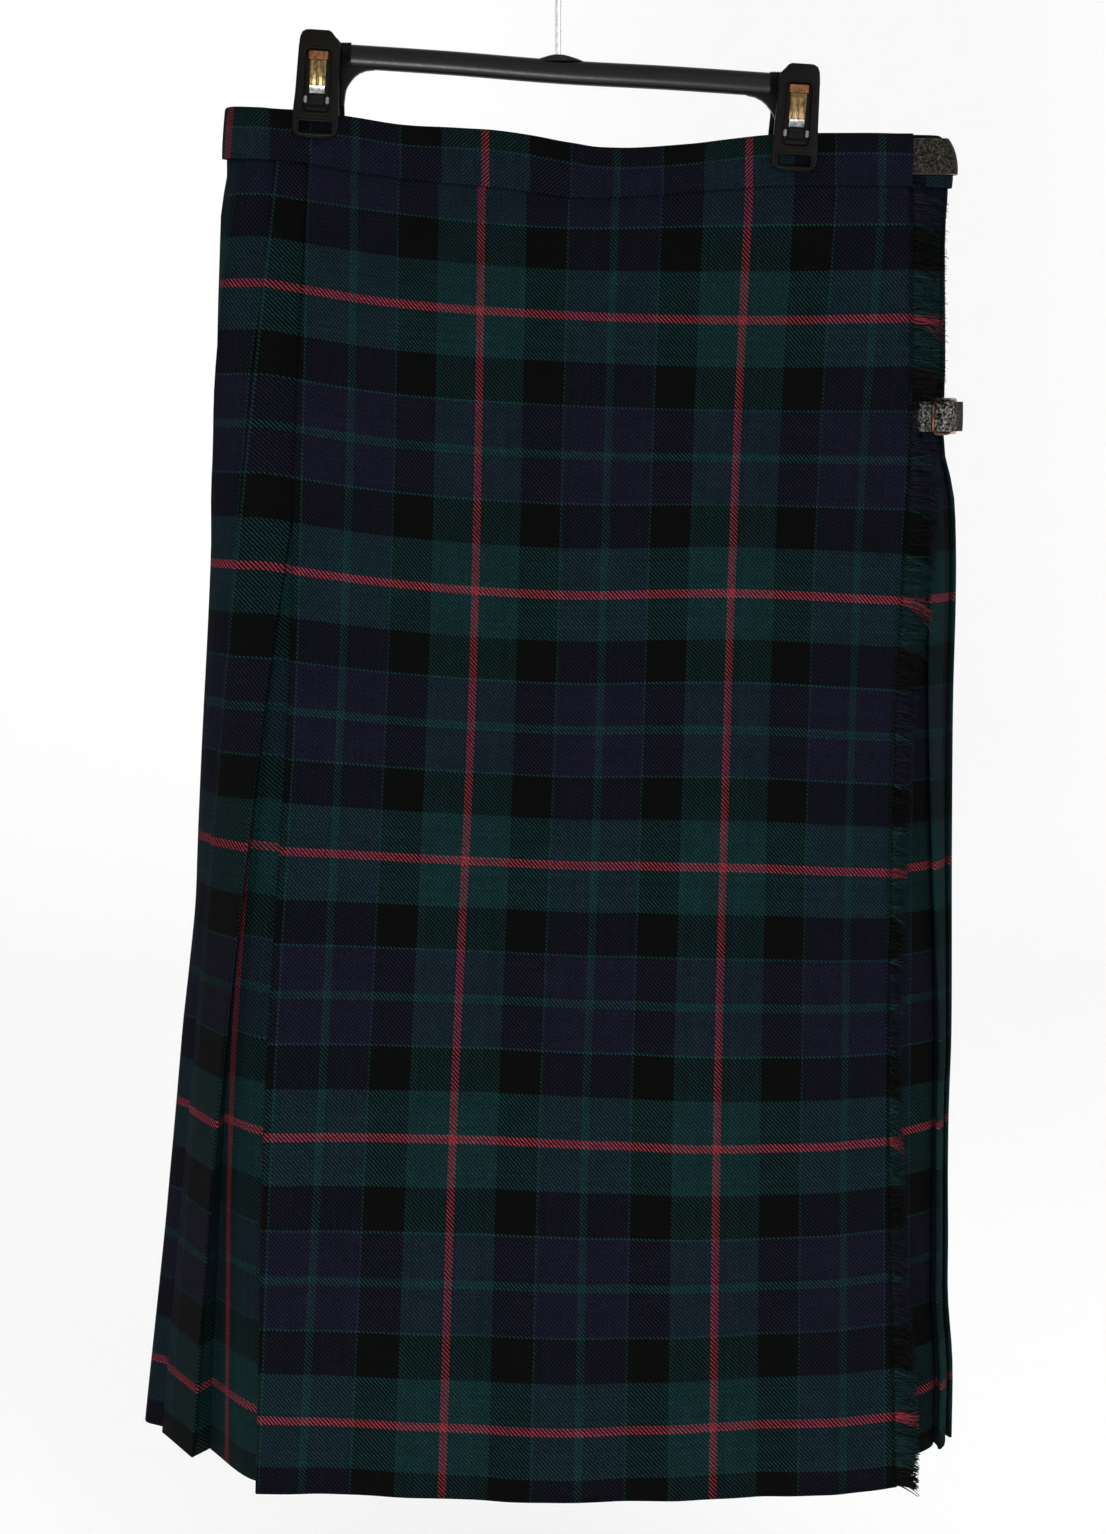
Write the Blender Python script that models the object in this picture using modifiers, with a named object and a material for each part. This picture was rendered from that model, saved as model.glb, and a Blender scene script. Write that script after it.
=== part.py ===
"""A tartan kilt with knife pleats, hung by its waistband from a two-clip skirt hanger.

Metres, +Z up. The front faces -Y and +X is the viewer's right. The origin is the inside of the
hanger's hook, where a rod carries it. Tables are in millimetres and are turned to metres on use.
Seen from above, the cloth starts at the free edge of the under apron, runs to the right, round the
back in knife pleats, round the left side, and ends as the over apron with its frayed right edge.
"""
import math
import random

import bmesh
import bpy
from mathutils import Vector

MM = 0.001

# driving sizes, in millimetres
RAIL_Z = -92.0            # middle of the hanger's rail, below the inside of the hook
SKIRT_DROP = 779.0        # hem below the rail's middle
BAND_HEIGHT = 27.5
SEAM_GAP = 0.3
CLOTH = 1.2               # wall of the aprons
PLEAT_CLOTH = 1.0         # wall of the pleats
BAND = 2.6                # wall of the waistband
LEATHER = 2.0
WIRE = 2.4                # buckle wire
FOLD_TURN = 2.0           # the most between the middles of two layers at a fold
TURN_PART = 0.47          # and the most of a shallow pleat's depth
LEAF_PARTS = (0.33, 0.66, 0.86)      # points along each pleat's outer leaf

LEVELS = (0.0, 0.07, 0.18, 0.32, 0.48, 0.66, 0.84, 1.0)      # rows of every panel, seam to hem
TABLE_LEVELS = (0.0, 0.2, 0.4, 0.7, 1.0)                     # the levels that the tables give

# the seam under the waistband hangs crooked on the clips: across, drop below the rail's middle
SEAM_LINE = (
    # x, drop
    (-186, 45.5),
    (-139, 53.0),
    (-69, 59.5),
    (14, 65.0),
    (90, 64.0),
    (138, 61.5),
    (216, 61.5),
)

# outer fold edges of the knife pleats: number, then x and y at each table level, then the tuck
# (hidden width) and the depth of the fold behind it, at the waist and at the hem; row 0 is where
# they meet the under apron, out of sight beneath the over apron
PLEAT_FOLDS = (
    # fold, waist x y, hip x y, seat x y, knee x y, hem x y, tuck waist hem, depth waist hem
    (0, 186, -4.6, 187, -12, 186, -17, 188, -20, 192, -21, 5, 10, 4.4, 9),
    (1, 198, -5.0, 202, -8.6, 205, -8.6, 213, -4, 221, -2, 3, 10, 4.0, 9),
    (2, 211.5, -2.4, 217, 7, 219, 10, 221, 12, 230, 15, 3, 9, 3.6, 9),
    (3, 208, 8.2, 213, 25, 214, 31, 217, 34, 228, 37, 4, 9, 4.4, 10),
    (4, 187, 9.4, 195, 28, 198, 35, 201, 41, 211, 46, 7, 12, 5.0, 12),
    (5, 168, 9.5, 173, 29, 175, 36, 180, 43.5, 188, 50, 9, 20, 5.2, 16),
    (8, 110, 9.6, 112, 30, 113, 38, 114, 47, 118, 54, 12, 40, 5.2, 26),
    (13, 15, 9.8, 15, 31, 14, 40, 10, 50, 4, 59, 12, 44, 5.2, 28),
    (18, -81, 9.6, -83, 29, -88, 38, -95, 48, -111, 56, 12, 42, 5.2, 27),
    (23, -175, 8.4, -184, 22, -190, 30, -205, 43, -226, 66, 8, 20, 5.0, 12),
    (24, -170, -7.6, -188, -4, -199, 5, -217, 22, -245, 40, 8, 6, 4.8, 7),
    (25, -151.5, -9.8, -168, -20, -185, -18, -208, 2, -232, 22, 10, 4, 5.0, 8),
    (26, -131.5, -12.0, -143, -31.5, -161, -33, -189, -30, -210, -13, 19, 5, 9.6, 14),
)
# the last stretch of the pleats, which runs on beneath the over apron's left edge
PLEAT_TAIL = (
    # waist x y, hip x y, seat x y, knee x y, hem x y
    (-134, -3.2, -140, -19.5, -148, -28, -163, -40, -173, -42),
    (-120, -3.4, -121, -20.5, -127, -31, -139, -45, -147, -51),
)

# the over apron, across from its left fold to its frayed edge
OVER_APRON = (
    # part of width, waist x y, hip x y, seat x y, knee x y, hem x y
    (0.00, -134, -6.6, -141.5, -25.6, -146, -37.5, -160, -53, -167, -62),
    (0.06, -118, -8.4, -124.0, -27.5, -127, -39.0, -140, -54.5, -147, -64),
    (0.22, -66, -8.6, -72, -29.5, -76, -42.0, -87, -57, -92, -67),
    (0.45, 10, -8.6, 7, -30.5, 2, -43.0, -6, -60, -8, -69),
    (0.70, 92, -8.6, 90, -29.0, 88, -41.0, 82, -57, 80, -65),
    (0.88, 152, -8.8, 149, -23.5, 145, -34.0, 143, -47, 148, -52),
    (1.00, 192, -9.4, 192, -18.8, 185, -26.5, 184, -34, 191, -39),
)
TURN_BACK = 18.0          # cloth turned back under the over apron's left fold

UNDER_APRON = (
    # part of width, waist x y, hip x y, seat x y, knee x y, hem x y
    (0.00, -110, -5.0, -112, -18.0, -116, -26, -126, -34, -132, -38),
    (0.35, -10, -5.2, -12, -20.0, -14, -29, -18, -42, -20, -49),
    (0.75, 110, -5.0, 110, -17.5, 108, -26, 106, -36, 106, -41),
    (1.00, 185.4, -4.6, 186.4, -12.2, 185.4, -17.3, 187.4, -20.3, 191.4, -21.3),
)

# the waistband's middle line, seen from above
BAND_OVER = (
    # x, y
    (191.5, -10.3), (120, -10.0), (20, -9.8), (-80, -9.8), (-150, -9.6), (-170, -9.0), (-178.5, -6.2),
    (-181.8, 0.0), (-178.5, 6.2), (-170.5, 8.8),
)
BAND_BACK = (
    # x, y
    (-170.0, 8.9), (-150, 9.4), (-80, 9.6), (20, 9.8), (120, 9.6), (190, 9.2), (204, 8.2), (211, 5.0),
    (213.4, 0.4), (210.5, -3.2), (204, -4.6), (192, -4.6), (186.3, -4.4),
)
BAND_UNDER = (
    # x, y
    (185.7, -4.4), (150, -4.6), (80, -5.0), (0, -5.2), (-110, -5.0),
)

FRINGE_LOCKS = 118
FRINGE_LENGTH = (
    # part of height, length
    (0.0, 15.5), (0.28, 15.0), (0.48, 10.5), (0.66, 8.0), (0.82, 10.0), (1.0, 8.5),
)

UNEVEN = 1.3              # how far the lower strap stands off the uneven pleats

STRAPS = (
    # name, middle below the rail, half width, pin bar at, length past it, what it lies on
    ("upper", 47.0, 9.2, 86, 34, "band"),
    ("lower", 185.5, 8.0, 54, 60, "pleats"),
)
BUCKLE_LONG = 17.0        # tip bar to pin bar
BUCKLE_BAR = 4.4          # middle of the pin bar, off the cloth
TIP_BAR = 4.7             # middle of the tip bar, off the cloth
CHAPE = 1.6
KEEPER = 1.4

RAIL = {"left": -117.3, "right": 115.8, "tall": 13, "deep": 9, "left_rise": 8.5, "right_drop": -7.0,
        "boss": 3.0}
HOOK = {"wire": 3.4, "radius": 20.0, "open": 205.0}
CLIPS = (
    # name, x, top above or below the rail's middle, tilt in degrees
    ("left", -127.5, 20.5, 3.6),
    ("right", 128.0, 2.5, 3.6),
)
# inner is from the clip's middle to its plates; the windows are width, top and bottom
CLIP = {"wide": 24.0, "foot": 26.0, "tall": 57.0, "plate": 3.2, "inner": 11.5, "hinge": 12.0,
        "spring": 22.0, "recess": (13.0, -10.5, -43.0), "slot": (17.0, -48.4, -53.8)}

COLOURS = {
    # name: colour, roughness, metallic
    "cloth": ((0.012, 0.024, 0.026), 0.85, 0.0),
    "leather": ((0.028, 0.020, 0.017), 0.5, 0.0),
    "buckle": ((0.24, 0.17, 0.09), 0.38, 1.0),
    "plastic": ((0.008, 0.008, 0.009), 0.32, 0.0),
    "wire": ((0.62, 0.62, 0.60), 0.25, 1.0),
    "spring": ((0.55, 0.38, 0.16), 0.3, 1.0),
}


# ---------------------------------------------------------------- curves and tables

def spline(knots, values, at):
    """Smooth value at a place among uneven knots, with flat-ended tangents at the ends."""
    last = len(knots) - 1
    i = 0
    while i < last - 1 and at > knots[i + 1]:
        i += 1

    def slope(j):
        low, high = max(j - 1, 0), min(j + 1, last)
        return (values[high] - values[low]) / (knots[high] - knots[low])

    span = knots[i + 1] - knots[i]
    f = (at - knots[i]) / span
    a = values[i] * (2 * f ** 3 - 3 * f ** 2 + 1) + values[i + 1] * (3 * f ** 2 - 2 * f ** 3)
    return a + span * (slope(i) * (f ** 3 - 2 * f ** 2 + f) + slope(i + 1) * (f ** 3 - f ** 2))


def at_level(pairs, level):
    """A point from x and y given at each table level, one after the other."""
    xs, ys = pairs[0::2], pairs[1::2]
    return Vector((spline(TABLE_LEVELS, xs, level), spline(TABLE_LEVELS, ys, level)))


def seam_z(x):
    """Height of the seam under the waistband, in millimetres."""
    across, drop = zip(*SEAM_LINE)
    return RAIL_Z - spline(across, drop, min(max(x, across[0]), across[-1]))


def height(x_at_waist, level):
    """Height of a panel's point, from the seam (less the gap) down to a level hem."""
    top = seam_z(x_at_waist) - SEAM_GAP
    return top + level * (RAIL_Z - SKIRT_DROP - top)


def between_rows(level, point_at):
    """A point on a panel's straight stretch between two of its rows."""
    i = max(j for j in range(len(LEVELS) - 1) if LEVELS[j] <= level)
    f = (level - LEVELS[i]) / (LEVELS[i + 1] - LEVELS[i])
    return point_at(LEVELS[i]).lerp(point_at(LEVELS[i + 1]), f)


def fold_line(place, level):
    """Point and inward normal on the line through the pleats' outer folds."""
    numbers = [row[0] for row in PLEAT_FOLDS]
    points = [at_level(row[1:11], level) for row in PLEAT_FOLDS]
    xs, ys = [p.x for p in points], [p.y for p in points]

    def point(number):
        return Vector((spline(numbers, xs, number), spline(numbers, ys, number)))

    ahead = (point(place + 0.05) - point(place - 0.05)).normalized()
    return point(place), Vector((-ahead.y, ahead.x))


def fold_size(number, level, waist_column, hem_column):
    """Tuck or depth of one pleat at a level: it opens slowly at first, then faster."""
    numbers = [row[0] for row in PLEAT_FOLDS]
    waist = spline(numbers, [row[waist_column] for row in PLEAT_FOLDS], number)
    hem = spline(numbers, [row[hem_column] for row in PLEAT_FOLDS], number)
    return waist + (hem - waist) * level ** 1.25


# ---------------------------------------------------------------- objects

def collection(name):
    made = bpy.data.collections.new(name)
    bpy.context.scene.collection.children.link(made)
    return made


def finish(name, mesh, colour, smooth=40.0):
    """An object of its own material in the kilt's collection."""
    base, roughness, metallic = COLOURS[colour]
    material = bpy.data.materials.new(name)
    material.use_nodes = True
    shader = material.node_tree.nodes["Principled BSDF"]
    shader.inputs["Base Color"].default_value = (*base, 1.0)
    shader.inputs["Roughness"].default_value = roughness
    shader.inputs["Metallic"].default_value = metallic
    material.diffuse_color = (*base, 1.0)
    made = bpy.data.objects.new(name, mesh)
    PARTS.objects.link(made)
    mesh.materials.append(material)
    if isinstance(mesh, bpy.types.Mesh):
        mesh.shade_smooth()
        mesh.set_sharp_from_angle(angle=math.radians(smooth))
    return made


def sheet(name, rows, thickness, colour):
    """Cloth or leather: a surface through rows of points, made solid to its thickness."""
    form = bmesh.new()
    grid = [[form.verts.new(Vector(point) * MM) for point in row] for row in rows]
    for upper, lower in zip(grid, grid[1:]):
        for i in range(len(upper) - 1):
            form.faces.new((upper[i], lower[i], lower[i + 1], upper[i + 1]))
    mesh = bpy.data.meshes.new(name)
    form.to_mesh(mesh)
    form.free()
    made = finish(name, mesh, colour)
    solid = made.modifiers.new("thickness", "SOLIDIFY")
    solid.thickness = thickness * MM
    solid.offset = 0.0
    solid.use_even_offset = True
    solid.use_quality_normals = True
    return made


def tube(name, points, radius, colour, closed=False, sides=2):
    """A wire along points, with filled ends."""
    curve = bpy.data.curves.new(name, "CURVE")
    curve.dimensions = "3D"
    curve.bevel_depth = radius * MM
    curve.bevel_resolution = sides
    curve.use_fill_caps = not closed
    run = curve.splines.new("POLY")
    run.points.add(len(points) - 1)
    for spot, point in zip(run.points, points):
        spot.co = (*(Vector(point) * MM), 1.0)
    run.use_cyclic_u = closed
    return finish(name, curve, colour)


def plate(name, outline, holes, thick, colour, place, turn):
    """A flat plate from an outline and its holes, standing up and facing the front."""
    curve = bpy.data.curves.new(name + "_outline", "CURVE")
    curve.dimensions = "2D"
    curve.fill_mode = "BOTH"
    curve.extrude = thick / 2 * MM
    for loop in (outline, *holes):
        run = curve.splines.new("POLY")
        run.points.add(len(loop) - 1)
        for spot, (x, z) in zip(run.points, loop):
            spot.co = (x * MM, z * MM, 0.0, 1.0)
        run.use_cyclic_u = True
    shape = bpy.data.objects.new(name + "_shape", curve)
    bpy.context.scene.collection.objects.link(shape)
    evaluated = shape.evaluated_get(bpy.context.evaluated_depsgraph_get())
    mesh = bpy.data.meshes.new_from_object(evaluated)
    bpy.data.objects.remove(shape)
    form = bmesh.new()
    form.from_mesh(mesh)
    bmesh.ops.remove_doubles(form, verts=form.verts, dist=0.00001)
    form.to_mesh(mesh)
    form.free()
    mesh.materials.clear()
    made = finish(name, mesh, colour, 30.0)
    made.rotation_euler = (math.radians(90), math.radians(turn), 0.0)
    made.location = Vector(place) * MM
    return made


def block(name, size, place, turn, round_by, colour):
    """A box with rounded edges."""
    form = bmesh.new()
    bmesh.ops.create_cube(form, size=1.0)
    for vertex in form.verts:
        vertex.co = Vector([c * s * MM for c, s in zip(vertex.co, size)])
    mesh = bpy.data.meshes.new(name)
    form.to_mesh(mesh)
    form.free()
    made = finish(name, mesh, colour)
    made.rotation_euler = (0.0, math.radians(turn), 0.0)
    made.location = Vector(place) * MM
    if round_by:
        bevel = made.modifiers.new("rounded", "BEVEL")
        bevel.width = round_by * MM
        bevel.segments = 2
    return made


# ---------------------------------------------------------------- cloth

def pleat_path(level):
    """The pleats' middle line at one level, as points and the place of each along the folds."""
    count = PLEAT_FOLDS[-1][0]
    path = [(fold_line(0, level)[0], 0.0)]

    def add(place, depth):
        point, inward = fold_line(place, level)
        path.append((point + inward * depth, place))

    tuck_before, depth_before = 0.0, 0.0
    for number in range(1, count + 1):
        pitch = (fold_line(number, level)[0] - fold_line(number - 0.9, level)[0]).length / 0.9
        tuck = fold_size(number, level, 11, 12) / pitch
        depth = fold_size(number, level, 13, 14)
        turn = min(FOLD_TURN, TURN_PART * depth / (1.0 + tuck))
        if number > 1:
            for part in LEAF_PARTS:
                add(number - (1.0 + tuck_before) * (1.0 - part), depth_before * (1.0 - part))
        add(number, 0.0)
        add(number, turn)
        add(number - tuck * 0.5, depth * 0.5)
        add(number - tuck, depth - turn)
        add(number - tuck, depth)
        tuck_before, depth_before = tuck, depth
    for row in PLEAT_TAIL:
        path.append((at_level(row, level), float(count)))
    return path


def make_pleats():
    at_waist = pleat_path(0.0)
    rows = []
    for level in LEVELS:
        here = pleat_path(level)
        rows.append([(point.x, point.y, height(waist.x, level))
                     for (point, place), (waist, same) in zip(here, at_waist)])
    return sheet("pleated_back", rows, PLEAT_CLOTH, "cloth")


def apron_point(table, part, level):
    parts = [row[0] for row in table]
    points = [at_level(row[1:], level) for row in table]
    return Vector((spline(parts, [p.x for p in points], part),
                   spline(parts, [p.y for p in points], part)))


def make_over_apron():
    parts = [0.0, 0.03, 0.06] + [0.06 + 0.88 * i / 14 for i in range(1, 15)] + [1.0]
    rows = []
    for level in LEVELS:
        fold = apron_point(OVER_APRON, 0.0, level)
        beyond = (apron_point(OVER_APRON, 0.12, level) - fold).normalized()
        under = Vector((-beyond.y, beyond.x))
        turn = CLOTH + 0.4
        points = [fold + beyond * TURN_BACK + under * (turn + 0.1 + level),
                  fold + beyond * TURN_BACK * 0.5 + under * (turn + 0.1 + level * 0.6),
                  fold + under * turn]
        points += [apron_point(OVER_APRON, part, level) for part in parts]
        waist = [apron_point(OVER_APRON, 0.0, 0.0).x] * 3
        waist += [apron_point(OVER_APRON, part, 0.0).x for part in parts]
        rows.append([(p.x, p.y, height(x, level)) for p, x in zip(points, waist)])
    return sheet("over_apron", rows, CLOTH, "cloth")


def make_under_apron():
    parts = [i / 8 for i in range(9)]
    rows = []
    for level in LEVELS:
        points = [apron_point(UNDER_APRON, part, level) for part in parts]
        waist = [apron_point(UNDER_APRON, part, 0.0).x for part in parts]
        rows.append([(p.x, p.y, height(x, level)) for p, x in zip(points, waist)])
    return sheet("under_apron", rows, CLOTH, "cloth")


def smooth_line(points, step):
    """Points about a step apart on a smooth line through the given ones."""
    along = [0.0]
    for a, b in zip(points, points[1:]):
        along.append(along[-1] + (Vector(b) - Vector(a)).length)
    count = max(2, round(along[-1] / step))
    return [Vector([spline(along, column, along[-1] * i / count) for column in zip(*points)])
            for i in range(count + 1)]


def make_band(name, points, steps):
    """A stretch of the waistband, from the seam up; it follows the crooked seam."""
    line = []
    for a, b in zip(points, points[1:]):
        pieces = max(1, round((Vector(b) - Vector(a)).length / steps))
        line += [(points.index(a), i / pieces) for i in range(pieces)]
    along = [0.0]
    for a, b in zip(points, points[1:]):
        along.append(along[-1] + (Vector(b) - Vector(a)).length)
    places = [along[i] + (along[i + 1] - along[i]) * f for i, f in line] + [along[-1]]
    middle = [Vector([spline(along, column, place) for column in zip(*points)]) for place in places]
    rows = [[(p.x, p.y, seam_z(p.x) + rise) for p in middle] for rise in (BAND_HEIGHT, 0.0)]
    return sheet(name, rows, BAND, "cloth")


def make_fringe():
    """Small locks fused to a narrow strip just clear of the over apron's frayed edge."""
    rng = random.Random(7)
    parts, lengths = zip(*FRINGE_LENGTH)
    waist_x = apron_point(OVER_APRON, 1.0, 0.0).x

    def edge(level):
        point, inside = [between_rows(level, lambda row, part=part: apron_point(OVER_APRON, part, row))
                         for part in (1.0, 0.94)]
        out = (point - inside).normalized()
        return Vector((point.x, point.y, height(waist_x, level))), Vector((out.x, out.y, 0))

    def ring(level):
        root, out = edge(level)
        side = Vector((out.y, -out.x, 0)) * CLOTH / 2
        near, far = root + out * SEAM_GAP, root + out * (SEAM_GAP + 2.6)
        return [form.verts.new(p * MM) for p in (near + side, far + side, far - side, near - side)]

    form = bmesh.new()
    before = ring(0.0)
    form.faces.new(before)
    for i in range(FRINGE_LOCKS):
        for is_lock, end in ((True, (i + 0.72) / FRINGE_LOCKS), (False, (i + 1.0) / FRINGE_LOCKS)):
            after = ring(end)
            for a, b in ((2, 3), (3, 0), (0, 1)):
                form.faces.new((before[b], before[a], after[a], after[b]))
            corners = (before[1], after[1], after[2], before[2])
            if is_lock:
                root, out = edge(end)
                reach = spline(parts, lengths, end) * rng.uniform(0.78, 1.12)
                if any(abs(root.z - RAIL_Z + row[1]) < row[2] + 5.0 for row in STRAPS):
                    reach = 4.0          # worn short over the strap
                droop = reach * rng.uniform(0.04, 0.2)
                tip = root + out * reach + Vector((0, rng.uniform(-1.0, 0.4), -droop))
                tip.z = max(tip.z, RAIL_Z - SKIRT_DROP + 0.5)
                side = Vector((out.y, -out.x, 0)) * 0.35
                up = Vector((0, 0, 0.7))
                end_points = (tip + side + up, tip + side - up, tip - side - up, tip - side + up)
                tips = [form.verts.new(p * MM) for p in end_points]
                for j in range(4):
                    k = (j + 1) % 4
                    form.faces.new((corners[j], corners[k], tips[k], tips[j]))
                form.faces.new(tips)
            else:
                form.faces.new(corners)
            before = after
    form.faces.new(before[::-1])
    bmesh.ops.recalc_face_normals(form, faces=form.faces)
    mesh = bpy.data.meshes.new("apron_fringe")
    form.to_mesh(mesh)
    form.free()
    return finish("apron_fringe", mesh, "cloth")


# ---------------------------------------------------------------- straps and buckles

class Side:
    """The surface that a strap lies on: distance along it, height off it, and height in the world."""

    def __init__(self, points, wall, z):
        self.line = smooth_line(points, 1.0)
        self.wall = wall
        self.z = z

    def at(self, along, off, up=0.0):
        i = min(max(int(along), 1), len(self.line) - 3)
        f = along - i
        here = self.line[i].lerp(self.line[i + 1], f)
        ahead = self.line[i + 2].lerp(self.line[i + 1], 1 - f) - self.line[i].lerp(self.line[i - 1], 1 - f)
        ahead.normalize()
        out = Vector((ahead.y, -ahead.x)) * (self.wall + off)
        return Vector((here.x + out.x, here.y + out.y, self.z + up))


def band_side(z):
    points = [(165, -4.5)] + [p for p in reversed(BAND_BACK[3:])]
    return Side(points, BAND / 2, z)


def pleat_side(z):
    level = (seam_z(205) - z) / (seam_z(205) - (RAIL_Z - SKIRT_DROP))
    points = [between_rows(level, lambda row: apron_point(UNDER_APRON, 0.93, row))]
    points += [between_rows(level, lambda row, place=i * 0.5: fold_line(place, row)[0])
               for i in range(14)]
    return Side(points, PLEAT_CLOTH / 2 + UNEVEN, z)


def strap_rise(along, pin):
    """Height of the strap's middle: under the buckle's tip bar, over its pin bar and the chape."""
    steps = (
        # along, from the pin bar, and height
        (-200, 1.7), (-BUCKLE_LONG + 1.0, 1.7), (-4.0, 9.1), (1.5, 9.1), (10.0, 5.7), (27.0, 5.7),
        (38.0, 1.8), (200, 1.8),
    )
    place = along - pin
    for (a, low), (b, high) in zip(steps, steps[1:]):
        if place <= b:
            f = (place - a) / (b - a)
            return low + (high - low) * f * f * (3 - 2 * f)
    return steps[-1][1]


def prong_line(side, pin):
    """The prong's two ends: level with the pin bar, and lying on the tip bar."""
    near, far = side.at(pin - BUCKLE_LONG, TIP_BAR), side.at(pin, BUCKLE_BAR)
    back = (far - near).normalized()
    out = Vector((back.y, -back.x, 0.0))
    return far - back * 4.8, near - back * 1.6 + out * (WIRE / 2 + 1.1)


def off_line(point, start, end):
    """Distance of a point from the line through two others."""
    along = (end - start).normalized()
    return (point - start - along * (point - start).dot(along)).length


def cutter_box(name, size, centre, ahead):
    """A box that cuts a hole, long way along the strap."""
    form = bmesh.new()
    bmesh.ops.create_cube(form, size=1.0)
    for vertex in form.verts:
        vertex.co = Vector([c * s * MM for c, s in zip(vertex.co, size)])
    mesh = bpy.data.meshes.new(name)
    form.to_mesh(mesh)
    form.free()
    made = bpy.data.objects.new(name, mesh)
    CUTTERS.objects.link(made)
    made.location = centre * MM
    made.rotation_euler = (0.0, 0.0, math.atan2(ahead.y, ahead.x))
    made.hide_render = True
    made.display_type = "WIRE"
    return made


def make_strap(name, side, half, pin, past):
    """A pointed leather strap: sewn down out of sight, through the buckle, and round to the back."""
    end = pin + past
    places = []
    here = 0.0
    while here < end - 12.0:
        places.append(here)
        here += 2.2 if abs(here - pin) < BUCKLE_LONG + 2 else 3.6
    places += [end - 12.0, end - 8.0, end - 3.0, end]
    widths = [half] * (len(places) - 3) + [half, half * 0.72, half * 0.22]
    rows = [[side.at(place, strap_rise(place, pin), turn * width)
             for place, width in zip(places, widths)] for turn in (1, 0, -1)]
    strap = sheet("strap_" + name, rows, LEATHER, "leather")
    tries = [pin - BUCKLE_LONG + 1.0 + i * 0.2 for i in range(60)]
    start, end_point = prong_line(side, pin)
    prong_hole = min(tries, key=lambda t: off_line(side.at(t, strap_rise(t, pin)), start, end_point))
    for i, (place, size) in enumerate(((prong_hole, (6.2, 8.0, 2.3)), (pin + 44, (2.2, 8.0, 2.2)),
                                       (end - 15.0, (2.2, 8.0, 2.2)))):
        centre = side.at(place, strap_rise(place, pin))
        ahead = side.at(place + 0.5, strap_rise(place + 0.5, pin)) - side.at(
            place - 0.5, strap_rise(place - 0.5, pin))
        cut = strap.modifiers.new("hole", "BOOLEAN")
        cut.operation = "DIFFERENCE"
        cut.object = cutter_box(f"cutter_{name}_{i}", size, centre, ahead)
    return strap


def make_chape(name, side, half, pin):
    """A leather loop round the buckle's pin bar, both leaves sewn down behind it."""
    reach, radius = 1.4, WIRE / 2 + 0.3 + CHAPE / 2
    profile = [(pin + far, reach) for far in (25, 20, 15, 10.5, 6)] + [(pin + 2.5, reach + 0.4)]
    for degrees in range(-90, -271, -30):
        angle = math.radians(degrees)
        profile.append((pin + radius * math.cos(angle), BUCKLE_BAR + radius * math.sin(angle)))
    profile += [(pin + 3, 6.1)] + [(pin + far, 3.4) for far in (8, 12, 16, 20, 24)]
    rows = [[side.at(along, off, turn * (half - 0.6)) for along, off in profile] for turn in (1, -1)]
    return sheet("chape_" + name, rows, CHAPE, "leather")


def make_keeper(name, side, half, pin):
    """A narrow loop over the strap and its chape, its legs down to the cloth."""
    reach = half + 0.7 + KEEPER / 2
    profile = [(reach, 1.0), (reach, 4.0), (reach - 0.2, 7.7), (reach - 1.6, 8.1), (0, 8.2),
               (1.6 - reach, 8.1), (0.2 - reach, 7.7), (-reach, 4.0), (-reach, 1.0)]
    rows = [[side.at(place, off, up) for up, off in profile] for place in (pin + 20.5, pin + 14.5)]
    return sheet("keeper_" + name, rows, KEEPER, "leather")


def make_frame(name, side, half, pin):
    """The buckle's frame: a wire rectangle with round corners, over the strap at its tip."""
    reach = half + 1.6
    near = side.at(pin - BUCKLE_LONG, TIP_BAR)
    far = side.at(pin, BUCKLE_BAR)
    corner = 2.6
    outline = []
    for across, up, first in ((1, 1, 0), (0, 1, 90), (0, -1, 180), (1, -1, 270)):
        for step in range(4):
            angle = math.radians(first + step * 30)
            cx = BUCKLE_LONG - corner if across else corner
            outline.append(((cx + corner * math.cos(angle)) / BUCKLE_LONG,
                            up * (reach - corner) + corner * math.sin(angle)))
    points = [near.lerp(far, f) + Vector((0, 0, z)) for f, z in outline]
    return tube("frame_" + name, points, WIRE / 2, "buckle", closed=True)


def make_prong(name, side, half, pin):
    """The prong: from the chape's loop, up through the strap, on to the frame's tip."""
    return tube("prong_" + name, prong_line(side, pin), 0.7, "buckle")


def make_straps():
    for name, drop, half, pin, past, side in STRAPS:
        surface = (band_side if side == "band" else pleat_side)(RAIL_Z - drop)
        make_strap(name, surface, half, pin, past)
        make_chape(name, surface, half, pin)
        make_keeper(name, surface, half, pin)
        make_frame(name, surface, half, pin)
        make_prong(name, surface, half, pin)


# ---------------------------------------------------------------- hanger

def make_hook():
    """A wire hook over a rod, its stem going down into the rail."""
    radius = HOOK["radius"] + HOOK["wire"] / 2
    centre = -HOOK["radius"]
    points = []
    for step in range(17):
        angle = math.radians(HOOK["open"] - step * (HOOK["open"] + 38) / 16)
        points.append((radius * math.cos(angle), 0, centre + radius * math.sin(angle)))
    end = Vector(points[-1])
    for f in (0.25, 0.5, 0.75):
        points.append((end.x * (1 - f) ** 2, 0, end.z - 15.0 * f * (2 - f)))
    points.append((0, 0, end.z - 17.0))
    points.append((0, 0, RAIL_Z + RAIL["tall"] / 2 + RAIL["boss"] + 1.1))
    return tube("hanger_hook", points, HOOK["wire"] / 2, "wire", sides=2)


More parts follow.
